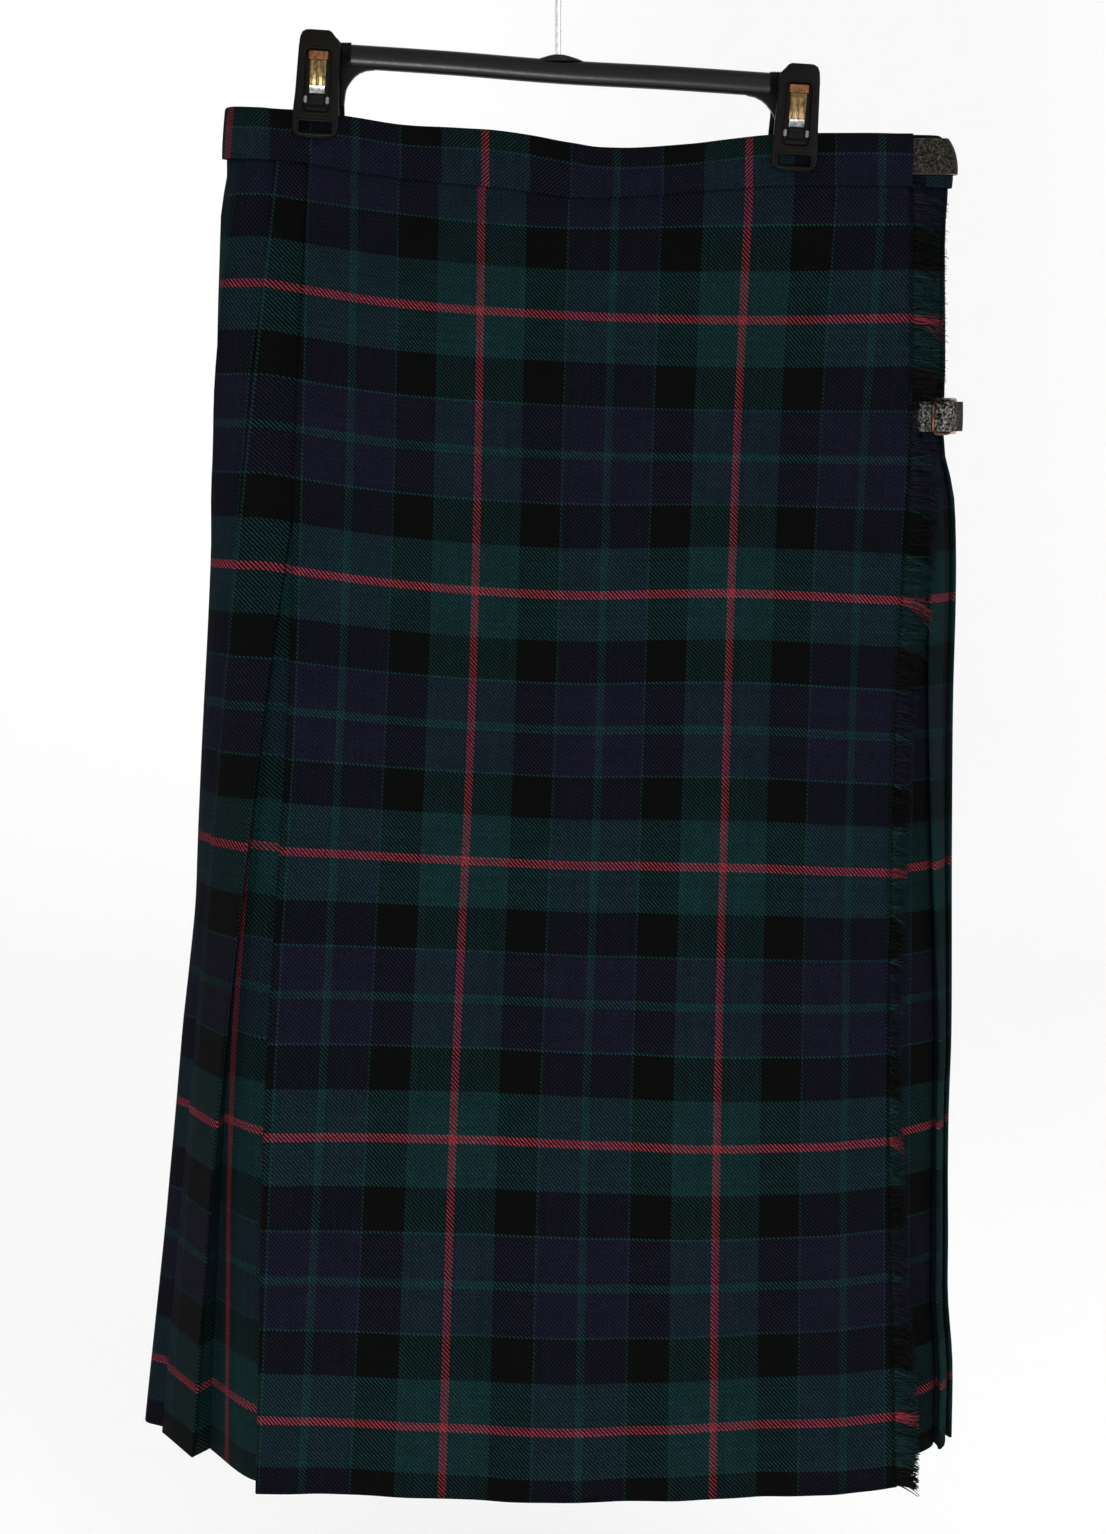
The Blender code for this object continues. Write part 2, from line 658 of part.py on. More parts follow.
def make_rail():
    """The moulded rail: it sags a little to each side, with a raised boss under the hook."""
    half = RAIL["tall"] / 2
    rows = []
    stations = ((RAIL["left"], RAIL["left_rise"]), (-58, 4.6), (-12, 0.9), (12, -0.7), (60, -3.2),
                (RAIL["right"], RAIL["right_drop"]))
    form = bmesh.new()
    rings = []
    for x, rise in stations:
        ring = []
        for step in range(12):
            angle = math.radians(step * 30)
            y = math.copysign(abs(math.cos(angle)) ** 0.7, math.cos(angle)) * RAIL["deep"] / 2
            z = math.copysign(abs(math.sin(angle)) ** 0.7, math.sin(angle)) * half
            ring.append(form.verts.new(Vector((x, y, RAIL_Z + rise + z)) * MM))
        rings.append(ring)
    for a, b in zip(rings, rings[1:]):
        for i in range(12):
            j = (i + 1) % 12
            form.faces.new((a[i], a[j], b[j], b[i]))
    form.faces.new(rings[0][::-1])
    form.faces.new(rings[-1])
    bmesh.ops.recalc_face_normals(form, faces=form.faces)
    mesh = bpy.data.meshes.new("hanger_rail")
    form.to_mesh(mesh)
    form.free()
    rail = finish("hanger_rail", mesh, "plastic")
    block("hanger_boss", (17.0, 8.0, RAIL["boss"] - 0.3),
          (0, 0, RAIL_Z + half + RAIL["boss"] / 2 + 0.45), 3.8, 0.8, "plastic")
    return rail


def clip_outline():
    wide, foot, tall, corner = CLIP["wide"] / 2, CLIP["foot"] / 2, CLIP["tall"], 4.0
    points = [(-wide + 1.5, 0), (wide - 1.5, 0), (wide, -1.5)]
    for step in range(4):
        angle = math.radians(-step * 30)
        points.append((foot - corner + corner * math.cos(angle), -tall + corner + corner * math.sin(angle)))
    for step in range(4):
        angle = math.radians(-90 - step * 30)
        points.append((-foot + corner + corner * math.cos(angle), -tall + corner + corner * math.sin(angle)))
    points.append((-wide, -1.5))
    return points


def box_outline(wide, top, bottom):
    return [(-wide / 2, top), (wide / 2, top), (wide / 2, bottom), (-wide / 2, bottom)]


def make_clip(name, x, top, turn):
    """One sprung clip: two plates that pinch the waistband, a hinge block, and its springs."""
    inner, thick = CLIP["inner"], CLIP["plate"]
    z = RAIL_Z + top
    windows = [box_outline(*CLIP["recess"]), box_outline(*CLIP["slot"])]
    plate(f"clip_{name}_front", clip_outline(), windows, thick, "plastic",
          (x, -inner - thick / 2, z), turn)
    plate(f"clip_{name}_back", clip_outline(), [], thick, "plastic", (x, inner + thick / 2, z), turn)
    lean = math.radians(turn)
    hinge_z = z - CLIP["hinge"]
    hinge_x = x - math.sin(lean) * CLIP["hinge"]
    block(f"clip_{name}_hinge", (20.6, 2 * inner - 0.7, 15.0), (hinge_x, 0, hinge_z), turn, 1.2, "plastic")
    spring = CLIP["spring"]
    block(f"clip_{name}_spring", (8.0, 1.0, 16.6),
          (x - math.sin(lean) * spring, -inner - 1.4, z - spring), turn, 0.0, "spring")


# ---------------------------------------------------------------- the model

for old in list(bpy.data.objects):
    bpy.data.objects.remove(old)
PARTS = collection("kilt_on_hanger")
CUTTERS = collection("cutters")
CUTTERS.hide_render = True

make_over_apron()
make_under_apron()
make_pleats()
make_band("band_over_apron", BAND_OVER, 16.0)
make_band("band_back", BAND_BACK, 16.0)
make_band("band_under_apron", BAND_UNDER, 30.0)
make_fringe()
make_straps()
make_hook()
make_rail()
for clip in CLIPS:
    make_clip(*clip)
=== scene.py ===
import random
from math import copysign, cos, exp, pi, radians, sin, sqrt, tau

import bmesh
import bpy
import numpy as np
from mathutils import Matrix, Vector, noise


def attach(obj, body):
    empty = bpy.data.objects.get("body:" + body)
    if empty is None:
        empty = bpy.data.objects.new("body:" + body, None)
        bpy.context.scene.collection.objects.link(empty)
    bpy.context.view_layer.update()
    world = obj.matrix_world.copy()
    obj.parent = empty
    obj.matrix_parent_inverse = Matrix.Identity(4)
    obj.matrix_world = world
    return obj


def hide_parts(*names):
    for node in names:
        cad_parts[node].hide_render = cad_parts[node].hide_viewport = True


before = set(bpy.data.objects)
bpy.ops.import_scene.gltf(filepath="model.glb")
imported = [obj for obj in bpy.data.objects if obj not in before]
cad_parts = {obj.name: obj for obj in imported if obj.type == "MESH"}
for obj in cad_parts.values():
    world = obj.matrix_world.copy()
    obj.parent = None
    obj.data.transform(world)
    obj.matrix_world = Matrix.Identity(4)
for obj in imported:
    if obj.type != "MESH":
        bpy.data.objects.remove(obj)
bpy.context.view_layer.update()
mm = 0.001


# what every panel shares: heights of the hanger's rail and of the hem, and the crooked seam
garment = {
    "railZ": -92.0,
    "skirtDrop": 779.0,
    # drop below the rail, by place across
    "seam": ((-186, 46.2), (-158, 47.3), (-139, 48.7), (-107, 54.4), (-69, 59.0), (-31, 62.6),
             (-10, 65.4), (8, 67.5), (36, 67.5), (66, 65.3), (93, 63.2), (112, 61.7), (139, 61.1),
             (206, 62.0), (216, 62.0)),
    "seamGap": 0.3,
    "levels": (0.0, 0.2, 0.4, 0.7, 1.0),      # the levels that the panel tables give, seam to hem
    "rows": 64,
    # how far the sides stand out or in, by depth below the hook
    "rightSide": ((133, 0), (150, 0), (157, 0), (180, -1.7), (250, -2.4), (280, -3.6), (300, -2.6),
                  (318, 1.8), (345, 3.4), (380, 3.7), (440, 2.8), (515, 3.3), (590, 4.3), (632, 4.3),
                  (670, 2.8), (710, 1.7), (750, 1.0), (785, 0), (824, 1.6), (871, 0)),
    "leftSide": ((133, -4.4), (138, -4.4), (147, -4.0), (152, -4.7), (157, -5.4), (172, -6.6),
                 (185, -5.8), (223, -4.5), (257, -3.0), (295, -0.6), (320, 0), (351, 1.5), (436, 1.4),
                 (514, 1.7), (553, 2.2), (591, 0.6), (630, -1.0), (710, -1.1), (750, -0.6), (871, 0)),
    # how much lower the apron's hem hangs than the pleats', by place across
    "hemDrop": ((-167, 0), (-115, -1.5), (-60, 0), (-30, 1.8), (25, 1.4), (79, 1.7), (106, 2.8),
                (134, 4.4), (161, 5.5), (178, 6.4), (192, 6.2)),
}


def spline(knots, values, at):
    # smooth values between uneven knots; values may be single numbers or rows of them
    knots, values, at = (np.asarray(given, float) for given in (knots, values, at))
    last = len(knots) - 1
    i = np.clip(np.searchsorted(knots, at, side="left") - 1, 0, last - 1)
    low = np.maximum(np.arange(last + 1) - 1, 0)
    high = np.minimum(np.arange(last + 1) + 1, last)
    extra = (1,) * (values.ndim - 1)
    slopes = (values[high] - values[low]) / (knots[high] - knots[low]).reshape((-1, *extra))
    span = (knots[i + 1] - knots[i]).reshape((*at.shape, *extra))
    f = (at - knots[i]).reshape((*at.shape, *extra)) / span
    a = values[i] * (2 * f ** 3 - 3 * f ** 2 + 1) + values[i + 1] * (3 * f ** 2 - 2 * f ** 3)
    return a + span * (slopes[i] * (f ** 3 - 2 * f ** 2 + f) + slopes[i + 1] * (f ** 3 - f ** 2))


def among(pairs, at):
    # smooth value from a table of pairs, steady past its ends
    places, values = zip(*pairs)
    return spline(places, values, np.clip(at, places[0], places[-1]))


def atLevel(values, level):
    return spline(garment["levels"], values, level)


def tablePoints(table, level):
    # x and y of every row of a panel table at one level
    pairs = np.array([row[1:11] for row in table], float).reshape(len(table), 5, 2)
    return atLevel(pairs.transpose(1, 0, 2), level)


def tableLine(table, level, places):
    # points at these places along a table's line at one level
    return spline([row[0] for row in table], tablePoints(table, level), places)


def seamZ(x):
    return garment["railZ"] - among(garment["seam"], x)


def heightAt(xAtWaist, level, above=0.3):
    # height of a panel's points: above is how far its top reaches up behind the band
    gap = garment["seamGap"]
    top = seamZ(xAtWaist) - gap
    hem = garment["railZ"] - garment["skirtDrop"]
    return top + level * (hem - top) + (above + gap) * np.maximum(0.0, 1 - level * 30)


def standOut(side, z):
    return among(garment[side], -np.asarray(z, float))


def rightOf(x, z):
    # how far a point at the right side is moved across
    return standOut("rightSide", z) * np.clip((x - 190) / 20, 0, 1)


levelsDown = np.concatenate([[0, 0.004, 0.012, 0.024], np.linspace(0.04, 1, garment["rows"] - 4)])


# ---- the tartan

# heights of the red weft lines at places across, and the threads that make up half a repeat
tartan = {
    "half": 130,
    "lineX": (-160, -90, 0, 95, 190),
    "lineZ": (
        (-61, -69, -81, -67.5, -69.5),
        (-205.2, -216.2, -222.8, -225.6, -224.4),
        (-357.8, -366.8, -373.0, -372.3, -377.4),
        (-512.0, -514.8, -518.8, -521, -527.4),
        (-670, -668.9, -671, -675.8, -678),
        (-829, -830.0, -832.2, -831.0, -833),
        (-984, -984, -986, -986, -988),
    ),
    "thread": 0.5515,                          # width of one warp thread at the waist, mm
    # first thread from the red middle, and its colour
    "stripes": ((0, "red"), (4, "green"), (44, "black"), (84, "line"), (86, "blue"), (126, "line")),
    "red": (0.128, 0.0165, 0.0245),
    "green": (0.0026, 0.0135, 0.0145),
    "black": (0.0008, 0.0010, 0.0009),
    "blue": (0.0039, 0.0039, 0.0104),
    "line": (0.0033, 0.0165, 0.0175),
}


def weftAt(points):
    # weft threads counted down from the first red line under the band
    places = tartan["lineX"]
    x = np.clip(points[..., 0].ravel(), places[0], places[-1])
    lines = spline(places, np.array(tartan["lineZ"], float).T, x)
    counts = (np.arange(len(tartan["lineZ"])) - 1.0) * 2 * tartan["half"]
    down = [spline(-line, counts, -z) for line, z in zip(lines, points[..., 2].ravel())]
    return np.array(down).reshape(points.shape[:-1])


# ---- materials

class Wire:
    # a socket that can stand in a sum
    def __init__(self, look, socket):
        self.look, self.socket = look, socket

    def sum(self, operation, *values):
        return self.look.node("Math", {"operation": operation}, dict(enumerate(values)))

    def __rsub__(self, other):
        return self.sum("SUBTRACT", other, self)

    def __abs__(self):
        return self.sum("ABSOLUTE", self)


for sign, operation in (("add", "ADD"), ("radd", "ADD"), ("sub", "SUBTRACT"), ("mul", "MULTIPLY"),
                        ("rmul", "MULTIPLY"), ("truediv", "DIVIDE"), ("pow", "POWER"),
                        ("mod", "FLOORED_MODULO"), ("lt", "LESS_THAN")):
    setattr(Wire, f"__{sign}__", lambda wire, other, does=operation: wire.sum(does, wire, other))


class Look:
    # one material: its shader's fixed values, then what varies is wired in by give()
    def __init__(self, name, **fixed):
        self.material = bpy.data.materials.new(name)
        self.material.use_nodes = True
        self.tree = self.material.node_tree
        self.shader = self.tree.nodes["Principled BSDF"]
        for socket, value in fixed.items():
            self.shader.inputs[socket.replace("_", " ")].default_value = value

    def node(self, kind, settings=None, sockets=None, out=0):
        made = self.tree.nodes.new("ShaderNode" + kind)
        for name, value in (settings or {}).items():
            if name == "stops":
                ramp = made.color_ramp
                ramp.interpolation = settings["between"]
                while len(ramp.elements) < len(value):
                    ramp.elements.new(1.0)
                for spot, (place, colour) in zip(ramp.elements, value):
                    spot.position = place
                for spot, (place, colour) in zip(ramp.elements, value):
                    spot.color = (*colour, 1.0)
            elif name != "between":
                setattr(made, name, value)
        for name, value in (sockets or {}).items():
            if isinstance(value, Wire):
                self.tree.links.new(value.socket, made.inputs[name])
            else:
                made.inputs[name].default_value = value
        return Wire(self, made.outputs[out])

    def give(self, socket, value):
        self.tree.links.new(value.socket, self.shader.inputs[socket])

    def mix(self, factor, a, b, blend="MIX"):
        settings = {"data_type": "RGBA", "blend_type": blend}
        return self.node("Mix", settings, {0: factor, 6: a, 7: b}, 2)

    def tinted(self, colour, shade):
        tint = self.node("CombineColor", None, {0: shade, 1: shade, 2: shade})
        return self.mix(1.0, colour, tint, "MULTIPLY")

    def noise(self, place, scale, detail=3.0, rough=0.5):
        sockets = {"Vector": place, "Scale": scale, "Detail": detail, "Roughness": rough}
        return self.node("TexNoise", None, sockets)

    def ramp(self, factor, stops, between="LINEAR"):
        return self.node("ValToRGB", {"between": between, "stops": stops}, {0: factor})

    def rise(self, height, distance, strength=1.0):
        sockets = {"Height": height, "Distance": distance, "Strength": strength}
        self.give("Normal", self.node("Bump", None, sockets))

    def place(self):
        return self.node("TexCoord", None, None, 3)

    def threads(self):
        # numbers of the threads across and down, from the UV map
        numbers = self.node("UVMap", {"uv_map": "threads"})
        return [self.axis(numbers, number) for number in (0, 1)]

    def axis(self, vector, number):
        return self.node("SeparateXYZ", None, {0: vector}, number)


def grey(value):
    return (value, value, value)


def whole(value):
    return value.sum("FLOOR", value)


def settColour(look, count):
    # the colour of the thread with this number: half a repeat, mirrored at both ends
    fold = count.sum("PINGPONG", count, tartan["half"])
    stops = [(first / tartan["half"], tartan[colour]) for first, colour in tartan["stripes"]]
    return look.ramp(fold / tartan["half"], stops, "CONSTANT")


def makeTartan(name):
    look = Look(name, Roughness=0.95, Specular_IOR_Level=0.04, Sheen_Weight=0.0)
    across, down = look.threads()
    warp, weft = whole(across), whole(down)
    # two over and two under, stepping one thread each time, so the ridges run down to the right
    step = (warp - weft) % 4
    warpUp = step < 1.5
    # a yarn's own roundness, and its rise and fall over the two that it crosses
    ends = (((warp - down + 1.0) % 4) * 0.5, ((across - weft) % 4) * 0.5 - 1.0)
    sides = [1.0 - ((value - first) * 2.0 - 1.0) ** 2.0 for value, first in ((across, warp), (down, weft))]
    lengths = [1.0 - (value * 2.0 - 1.0) ** 4.0 for value in ends]
    heights = [side * (length * 0.5 + 0.5) for side, length in zip(sides, lengths)]
    height = warpUp * heights[0] + (1.0 - warpUp) * heights[1]
    cloth = look.mix(warpUp, settColour(look, weft + 0.5), settColour(look, warp + 0.5))
    # each yarn is a little lighter or darker than the next, and the cloth is faintly heathered
    mixed = look.node("CombineXYZ", None, {0: warp * warpUp, 1: weft * (1.0 - warpUp)})
    yarn = look.node("TexWhiteNoise", {"noise_dimensions": "3D"}, {"Vector": mixed})
    place = look.place()
    mottle = look.noise(place, 70.0, 4.0, 0.6)
    fuzz = look.noise(place, 2600.0, 2.0)
    speck = look.noise(place, 850.0, 2.0)
    # painted shade of the twill's relief: the ridge of each rib is painted lightest, and the groove between
    # two ribs darkest
    ribShade = 1.0 - abs(step - 1.5) / 2.0
    # painted shade: the colour is darkened where each yarn dips under its neighbours and in the grooves
    # between ribs; the other factors are the cloth's own tone
    light = (height * 1.1 + 0.15) * (1.13 - warpUp * 0.26) * (ribShade * 1.9 + 0.05)
    light = light * (yarn * 0.4 + 0.8) * (mottle * 0.6 + 0.7)
    light = light * (fuzz * 0.6 + 0.7) * (speck * 1.3 + 0.35)
    look.give("Base Color", look.tinted(cloth, light))
    look.rise(height + fuzz * 0.4, 0.0003, 0.9)
    return look.material


# ---- meshes

def linked(name, data):
    piece = bpy.data.objects.new(name, data)
    bpy.context.scene.collection.objects.link(piece)
    return piece


def settle(piece, node):
    # it hangs with the rest, in place of its plain solid
    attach(piece, "root")
    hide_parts(node)


def cells(grid):
    # the four corners of every cell of a grid
    return grid[:-1, :-1], grid[1:, :-1], grid[1:, 1:], grid[:-1, 1:]


def gridMesh(name, rows, *materials):
    # a mesh through rows of points in mm
    rows = np.array(rows, float)
    corner = np.arange(rows.shape[0] * rows.shape[1]).reshape(rows.shape[:2])
    mesh = bpy.data.meshes.new(name)
    faces = np.stack(cells(corner), -1).reshape(-1, 4)
    mesh.from_pydata((rows.reshape(-1, 3) * mm).tolist(), [], faces.tolist())
    for material in materials:
        mesh.materials.append(material)
    return mesh


def meshFrom(form, name, *materials, sharp=None):
    # a mesh of the form; with a sharp angle its faces are turned outward and split there
    if sharp:
        bmesh.ops.recalc_face_normals(form, faces=form.faces)
    mesh = bpy.data.meshes.new(name)
    form.to_mesh(mesh)
    form.free()
    for material in materials:
        mesh.materials.append(material)
    if sharp:
        mesh.set_sharp_from_angle(angle=radians(sharp))
    return mesh


def thicken(piece, thickness, even=True):
    solid = piece.modifiers.new("thickness", "SOLIDIFY")
    solid.thickness = thickness * mm
    solid.offset = 0.0
    solid.use_even_offset = even
    return solid


def giveThreads(mesh, numbers):
    layer = mesh.uv_layers.new(name="threads")
    layer.data.foreach_set("uv", numbers.astype(np.float32).reshape(-1))


def unitRows(line):
    # which way a line runs at each of its points
    ahead = np.gradient(line, axis=0)
    return ahead / np.linalg.norm(ahead, axis=1, keepdims=True)


# ---- cloth panels

def clothGrid(name, points, across, down, thickness, material, acrossNext=None):
    # a sheet through rows of points in mm; across and down number its threads. acrossNext gives
    # the right side of each cell its own number where a pleat hides a jump in the pattern
    mesh = gridMesh(name, points, material)
    even = acrossNext is None      # tight pleat folds would throw out spikes
    left, right = (across[:, :-1], across[:, 1:]) if even else (across, acrossNext)
    u = np.stack([left[:-1], left[1:], right[1:], right[:-1]], -1).reshape(-1)
    v = np.stack(cells(down), -1).reshape(-1)
    giveThreads(mesh, np.stack([u, v], -1))
    mesh.shade_smooth()
    piece = linked(name, mesh)
    thicken(piece, thickness, even).use_quality_normals = True
    return piece


def flatSize(points):
    # width across the hem and length down the middle of a sheet, in metres
    lines = (points[-1], points[:, points.shape[1] // 2])
    return tuple(round(float(np.linalg.norm(np.diff(line, axis=0), axis=1).sum() * mm), 3) for line in lines)


def flatArea(points):
    a, b, c, d = cells(points)
    areas = np.linalg.norm(np.cross(c - a, d - b), axis=2) / 2
    return round(float(areas.sum()) * mm * mm, 4)


def outwardOf(line):
    # unit normals of one row, level with the ground, on the side away from the body
    ahead = unitRows(line)
    return np.stack([ahead[:, 1], -ahead[:, 0]], -1)


def arcAlong(line):
    steps = np.linalg.norm(np.diff(line, axis=0), axis=1)
    return np.concatenate([[0], np.cumsum(steps)])


def softFolds(folds, place, level):
    # sum of long soft folds: (place, half width, then height at waist, hip, seat, knee, hem)
    out = np.zeros_like(place)
    for middle, wide, *heights in folds:
        out += atLevel(heights, level) * np.exp(-((place - middle) / wide) ** 2)
    return out


overApron = {
    # part of width, then x and y at waist, hip, seat, knee and hem
    "table": (
        (0.00, -134, -8.2, -141.5, -25.6, -146, -37.5, -160, -53, -167, -62),
        (0.06, -118, -8.6, -124.0, -27.5, -127, -39.0, -140, -54.5, -147, -64),
        (0.22, -66, -8.6, -72, -29.5, -76, -42.0, -87, -57, -92, -67),
        (0.45, 10, -8.6, 7, -30.5, 2, -43.0, -6, -60, -8, -69),
        (0.70, 92, -8.6, 90, -29.0, 88, -41.0, 82, -57, 80, -65),
        (0.88, 152, -8.8, 149, -23.5, 145, -34.0, 143, -47, 148, -52),
        (1.00, 192, -9.4, 192, -18.8, 185, -26.5, 184, -34, 191, -39),
    ),
    # the thread at the left fold, then where the green line beside it and the two red lines run
    "foldThread": (-174, -181, -181, -182, -177),
    "centreLeft": (-110.0, -112.1, -117.9, -129.5, -142.3),
    "redLeft": (-41.4, -43.2, -47.0, -57.0, -64.3),
    "redRight": (103.6, 96.3, 91.7, 87.0, 85.6),
    "turnBack": 18.0,
    "turnGap": 1.3,           # between the apron and what is turned back
    "thickness": 0.9,
    "above": 1.2,             # how far both aprons reach up behind the band
    "folds": (
        # part of width, half width, height outward at waist, hip, seat, knee, hem
        (0.10, 0.030, 0.0, -0.5, -0.7, -0.6, -0.8),
        (0.24, 0.045, 0.0, 0.6, 0.4, 0.9, 1.6),
        (0.36, 0.035, 0.0, -0.5, -1.0, -1.1, -1.6),
        (0.50, 0.050, 0.0, 0.5, 0.9, 1.2, 1.2),
        (0.575, 0.022, 0.0, -0.3, -1.4, -0.9, -0.4),
        (0.66, 0.040, 0.0, 0.3, 0.9, 0.6, 1.5),
        (0.79, 0.035, 0.0, -0.3, -0.6, -1.0, -1.8),
        (0.90, 0.030, 0.0, 0.4, 0.8, 0.9, 1.2),
    ),
}


def makeOverApron(material):
    parts = np.concatenate([np.linspace(0, 0.06, 8)[:-1], np.linspace(0.06, 1, 96)])
    gap = overApron["turnGap"]
    rows, numbers = [], []
    for level in levelsDown:
        line = tableLine(overApron["table"], level, parts)
        fold = line[0]
        beyond = line[10] - fold
        beyond /= np.linalg.norm(beyond)
        under = np.array([-beyond[1], beyond[0]])
        back = [fold + beyond * overApron["turnBack"] * f + under * (gap + level * 0.8 * f)
                for f in (1.0, 0.75, 0.5, 0.25, 0.08)]
        back.append(fold - beyond * 0.45 + under * gap / 2)
        start = len(back)
        full = np.vstack([back, line])
        if not rows:
            waist = full[:, 0].copy()
        place = np.concatenate([np.zeros(start), parts])
        lift = softFolds(overApron["folds"], place, level)
        lift += [0.35 * level * noise.noise((p * 9, level * 5, 3.1)) for p in place]
        full = full + outwardOf(full) * lift[:, None]
        arc = arcAlong(full)
        # how far along the row the green line and the two red ones run
        centre, *at = (np.interp(atLevel(overApron[key], level), full[start:, 0], arc[start:])
                       for key in ("centreLeft", "redLeft", "redRight"))
        row = (arc - at[0]) / (at[1] - at[0]) * 2 * tartan["half"]
        fold = float(atLevel(overApron["foldThread"], level))
        left = arc < at[0]
        row[left] = np.interp(arc[left], (arc[start], centre, at[0]), (fold, -tartan["half"], 0))
        row[:start] = fold - (arc[start] - arc[:start]) / tartan["thread"]
        numbers.append(row)
        rows.append(np.column_stack([full, heightAt(waist, level, overApron["above"])]))
    points = np.array(rows)
    weft = weftAt(points)
    # the hem sags a little at the right
    low = np.clip((levelsDown - 0.86) / 0.14, 0, 1) ** 1.6
    points[..., 2] -= among(garment["hemDrop"], points[..., 0]) * low[:, None]
    piece = clothGrid("over_apron_cloth", points, np.array(numbers), weft, overApron["thickness"], material)
    return piece, points, weft


underApron = {
    "table": (
        (0.00, -110, -5.0, -112, -18.0, -116, -26, -126, -34, -132, -38),
        (0.35, -10, -5.2, -12, -20.0, -14, -29, -18, -42, -20, -49),
        (0.75, 110, -5.0, 110, -17.5, 108, -26, 106, -36, 106, -41),
        (1.00, 185.4, -4.6, 186.4, -12.2, 185.4, -17.3, 187.4, -20.3, 191.4, -21.3),
    ),
    "thickness": 0.9,
    "edgeThread": 40,         # at the right side
    "folds": (
        (0.20, 0.05, 0.0, 0.4, 0.8, 1.0, 1.4),
        (0.45, 0.06, 0.0, -0.5, -0.9, -1.2, -1.6),
        (0.72, 0.05, 0.0, 0.4, 0.6, 1.0, 1.2),
    ),
}


def makeUnderApron(material):
    parts = np.linspace(0, 1, 60)
    rows, numbers = [], []
    for level in levelsDown:
        line = tableLine(underApron["table"], level, parts)
        if not rows:
            waist = line[:, 0].copy()
        line = line + outwardOf(line) * softFolds(underApron["folds"], parts, level)[:, None]
        arc = arcAlong(line)
        thread = tartan["thread"] * (1 + 0.05 * level)
        numbers.append((arc - arc[-1]) / thread + underApron["edgeThread"])
        z = heightAt(waist, level, overApron["above"])
        line[:, 0] += rightOf(line[:, 0], z)
        rows.append(np.column_stack([line, z]))
    points = np.array(rows)
    piece = clothGrid("under_apron_cloth", points, np.array(numbers), weftAt(points),
                      underApron["thickness"], material)
    return piece, points


pleats = {
    # fold, x and y at waist, hip, seat, knee and hem, then tuck at waist and hem, depth at both
    "folds": (
        (0, 186, -4.6, 187, -12, 186, -17, 188, -20, 192, -21, 5, 10, 4.4, 9),
        (1, 198, -5.0, 202, -8.6, 205, -8.6, 213, -4, 221, -2, 3, 10, 4.0, 9),
        (2, 211.5, -2.4, 217, 7, 219, 10, 221, 12, 230, 15, 3, 9, 3.6, 9),
        (3, 208, 8.2, 213, 25, 214, 31, 217, 34, 228, 37, 5, 9, 4.4, 10),
        (4, 187, 9.4, 195, 28, 198, 35, 201, 41, 211, 46, 7, 12, 5.0, 12),
        (5, 168, 9.5, 173, 29, 175, 36, 180, 43.5, 188, 50, 9, 20, 5.2, 16),
        (8, 110, 9.6, 112, 30, 113, 38, 114, 47, 118, 54, 12, 40, 5.2, 26),
        (13, 15, 9.8, 15, 31, 14, 40, 10, 50, 4, 59, 12, 44, 5.2, 28),
        (18, -81, 9.6, -83, 29, -88, 38, -95, 48, -111, 56, 12, 42, 5.2, 27),
        (23, -175, 8.4, -184, 22, -190, 30, -205, 43, -226, 66, 4, 20, 3.0, 12),
        (24, -170, -7.6, -188, -4, -199, 5, -217, 22, -245, 40, 5, 6, 3.4, 7),
        (25, -151.5, -9.4, -168, -20, -185, -18, -208, 2, -232, 22, 10, 4, 5.0, 8),
        (26, -131.5, -4.2, -140, -22.0, -161, -33, -189, -30, -210, -13, 19, 5, 3.0, 14),
    ),
    # the last stretch, which runs on beneath the over apron's left edge
    "tail": (
        (0, -134, -3.2, -140, -19.5, -148, -28, -163, -40, -173, -42),
        (1, -120, -3.4, -121, -20.5, -127, -31, -139, -45, -147, -51),
    ),
    "turn": 1.25,             # middle to middle of the two layers at a pressed fold
    "thickness": 0.85,
    "step": 35.0,             # threads from one fold edge to the next round the back
    "lastEdge": 5.0,          # thread at the last fold edge of the back
    "ownEdges": {0: 153.0, 1: 20.0, 2: 22.0, 3: 24.0, 24: 134.0},
    # threads at the two creases of the last leaf, then where its red line runs
    "leafStart": (173, 173, 171, 166, 160),
    "leafEnd": (207, 212, 216, 216, 214),
    "tailRed": (-145.0, -155.0, -165.0, -182.5, -189.0),
    "points": 18,             # points to a pleat; its fold edge is the sixteenth
    "tailPoints": 14,
}


def innerPleat(start, edge, inner, depth, turn, pitch):
    # the leaf before runs in under this fold, turns there and comes back out to its edge
    path = [(start + (inner - start) * f, depth * f * (1 - 0.12 * sin(pi * f)))
            for f in (0.15, 0.35, 0.55, 0.7, 0.8, 0.9, 1.0)]
    path += roundFold(inner, 0.45 * turn / pitch, depth, -turn, (0.35, 0.7))
    path += [(inner + (edge - inner) * f, depth - turn + (2 * turn - depth) * f)
             for f in (0.0, 0.15, 0.4, 0.7, 1.0)]
    return path + roundFold(edge, -0.5 * turn / pitch, turn, -turn, (0.25, 0.5, 0.75)) + [(edge, 0.0)]


def lastPleat(start, edge, inner, depth, turn, pitch):
    # the last leaf ends at a crease that opens the other way
    path = [(start + (edge - start) * f, 0.0) for f in (0.2, 0.4, 0.6, 0.75, 0.87, 0.95, 1.0)]
    path += roundFold(edge, 0.5 * turn / pitch, 0.0, turn, (0.2, 0.5, 0.8))
    path += [(edge + (inner - edge) * f, turn + (depth - 2 * turn) * f) for f in (0.0, 0.3, 0.6, 0.85, 1.0)]
    return path + roundFold(inner, -0.45 * turn / pitch, depth - turn, turn, (0.35, 0.7)) + [(inner, depth)]


def roundFold(along, swell, depth, turn, shares):
    # points round a pressed fold, from this depth to a turn deeper
    return [(along + swell * sin(pi * f), depth + turn * (1 - cos(pi * f)) / 2) for f in shares]


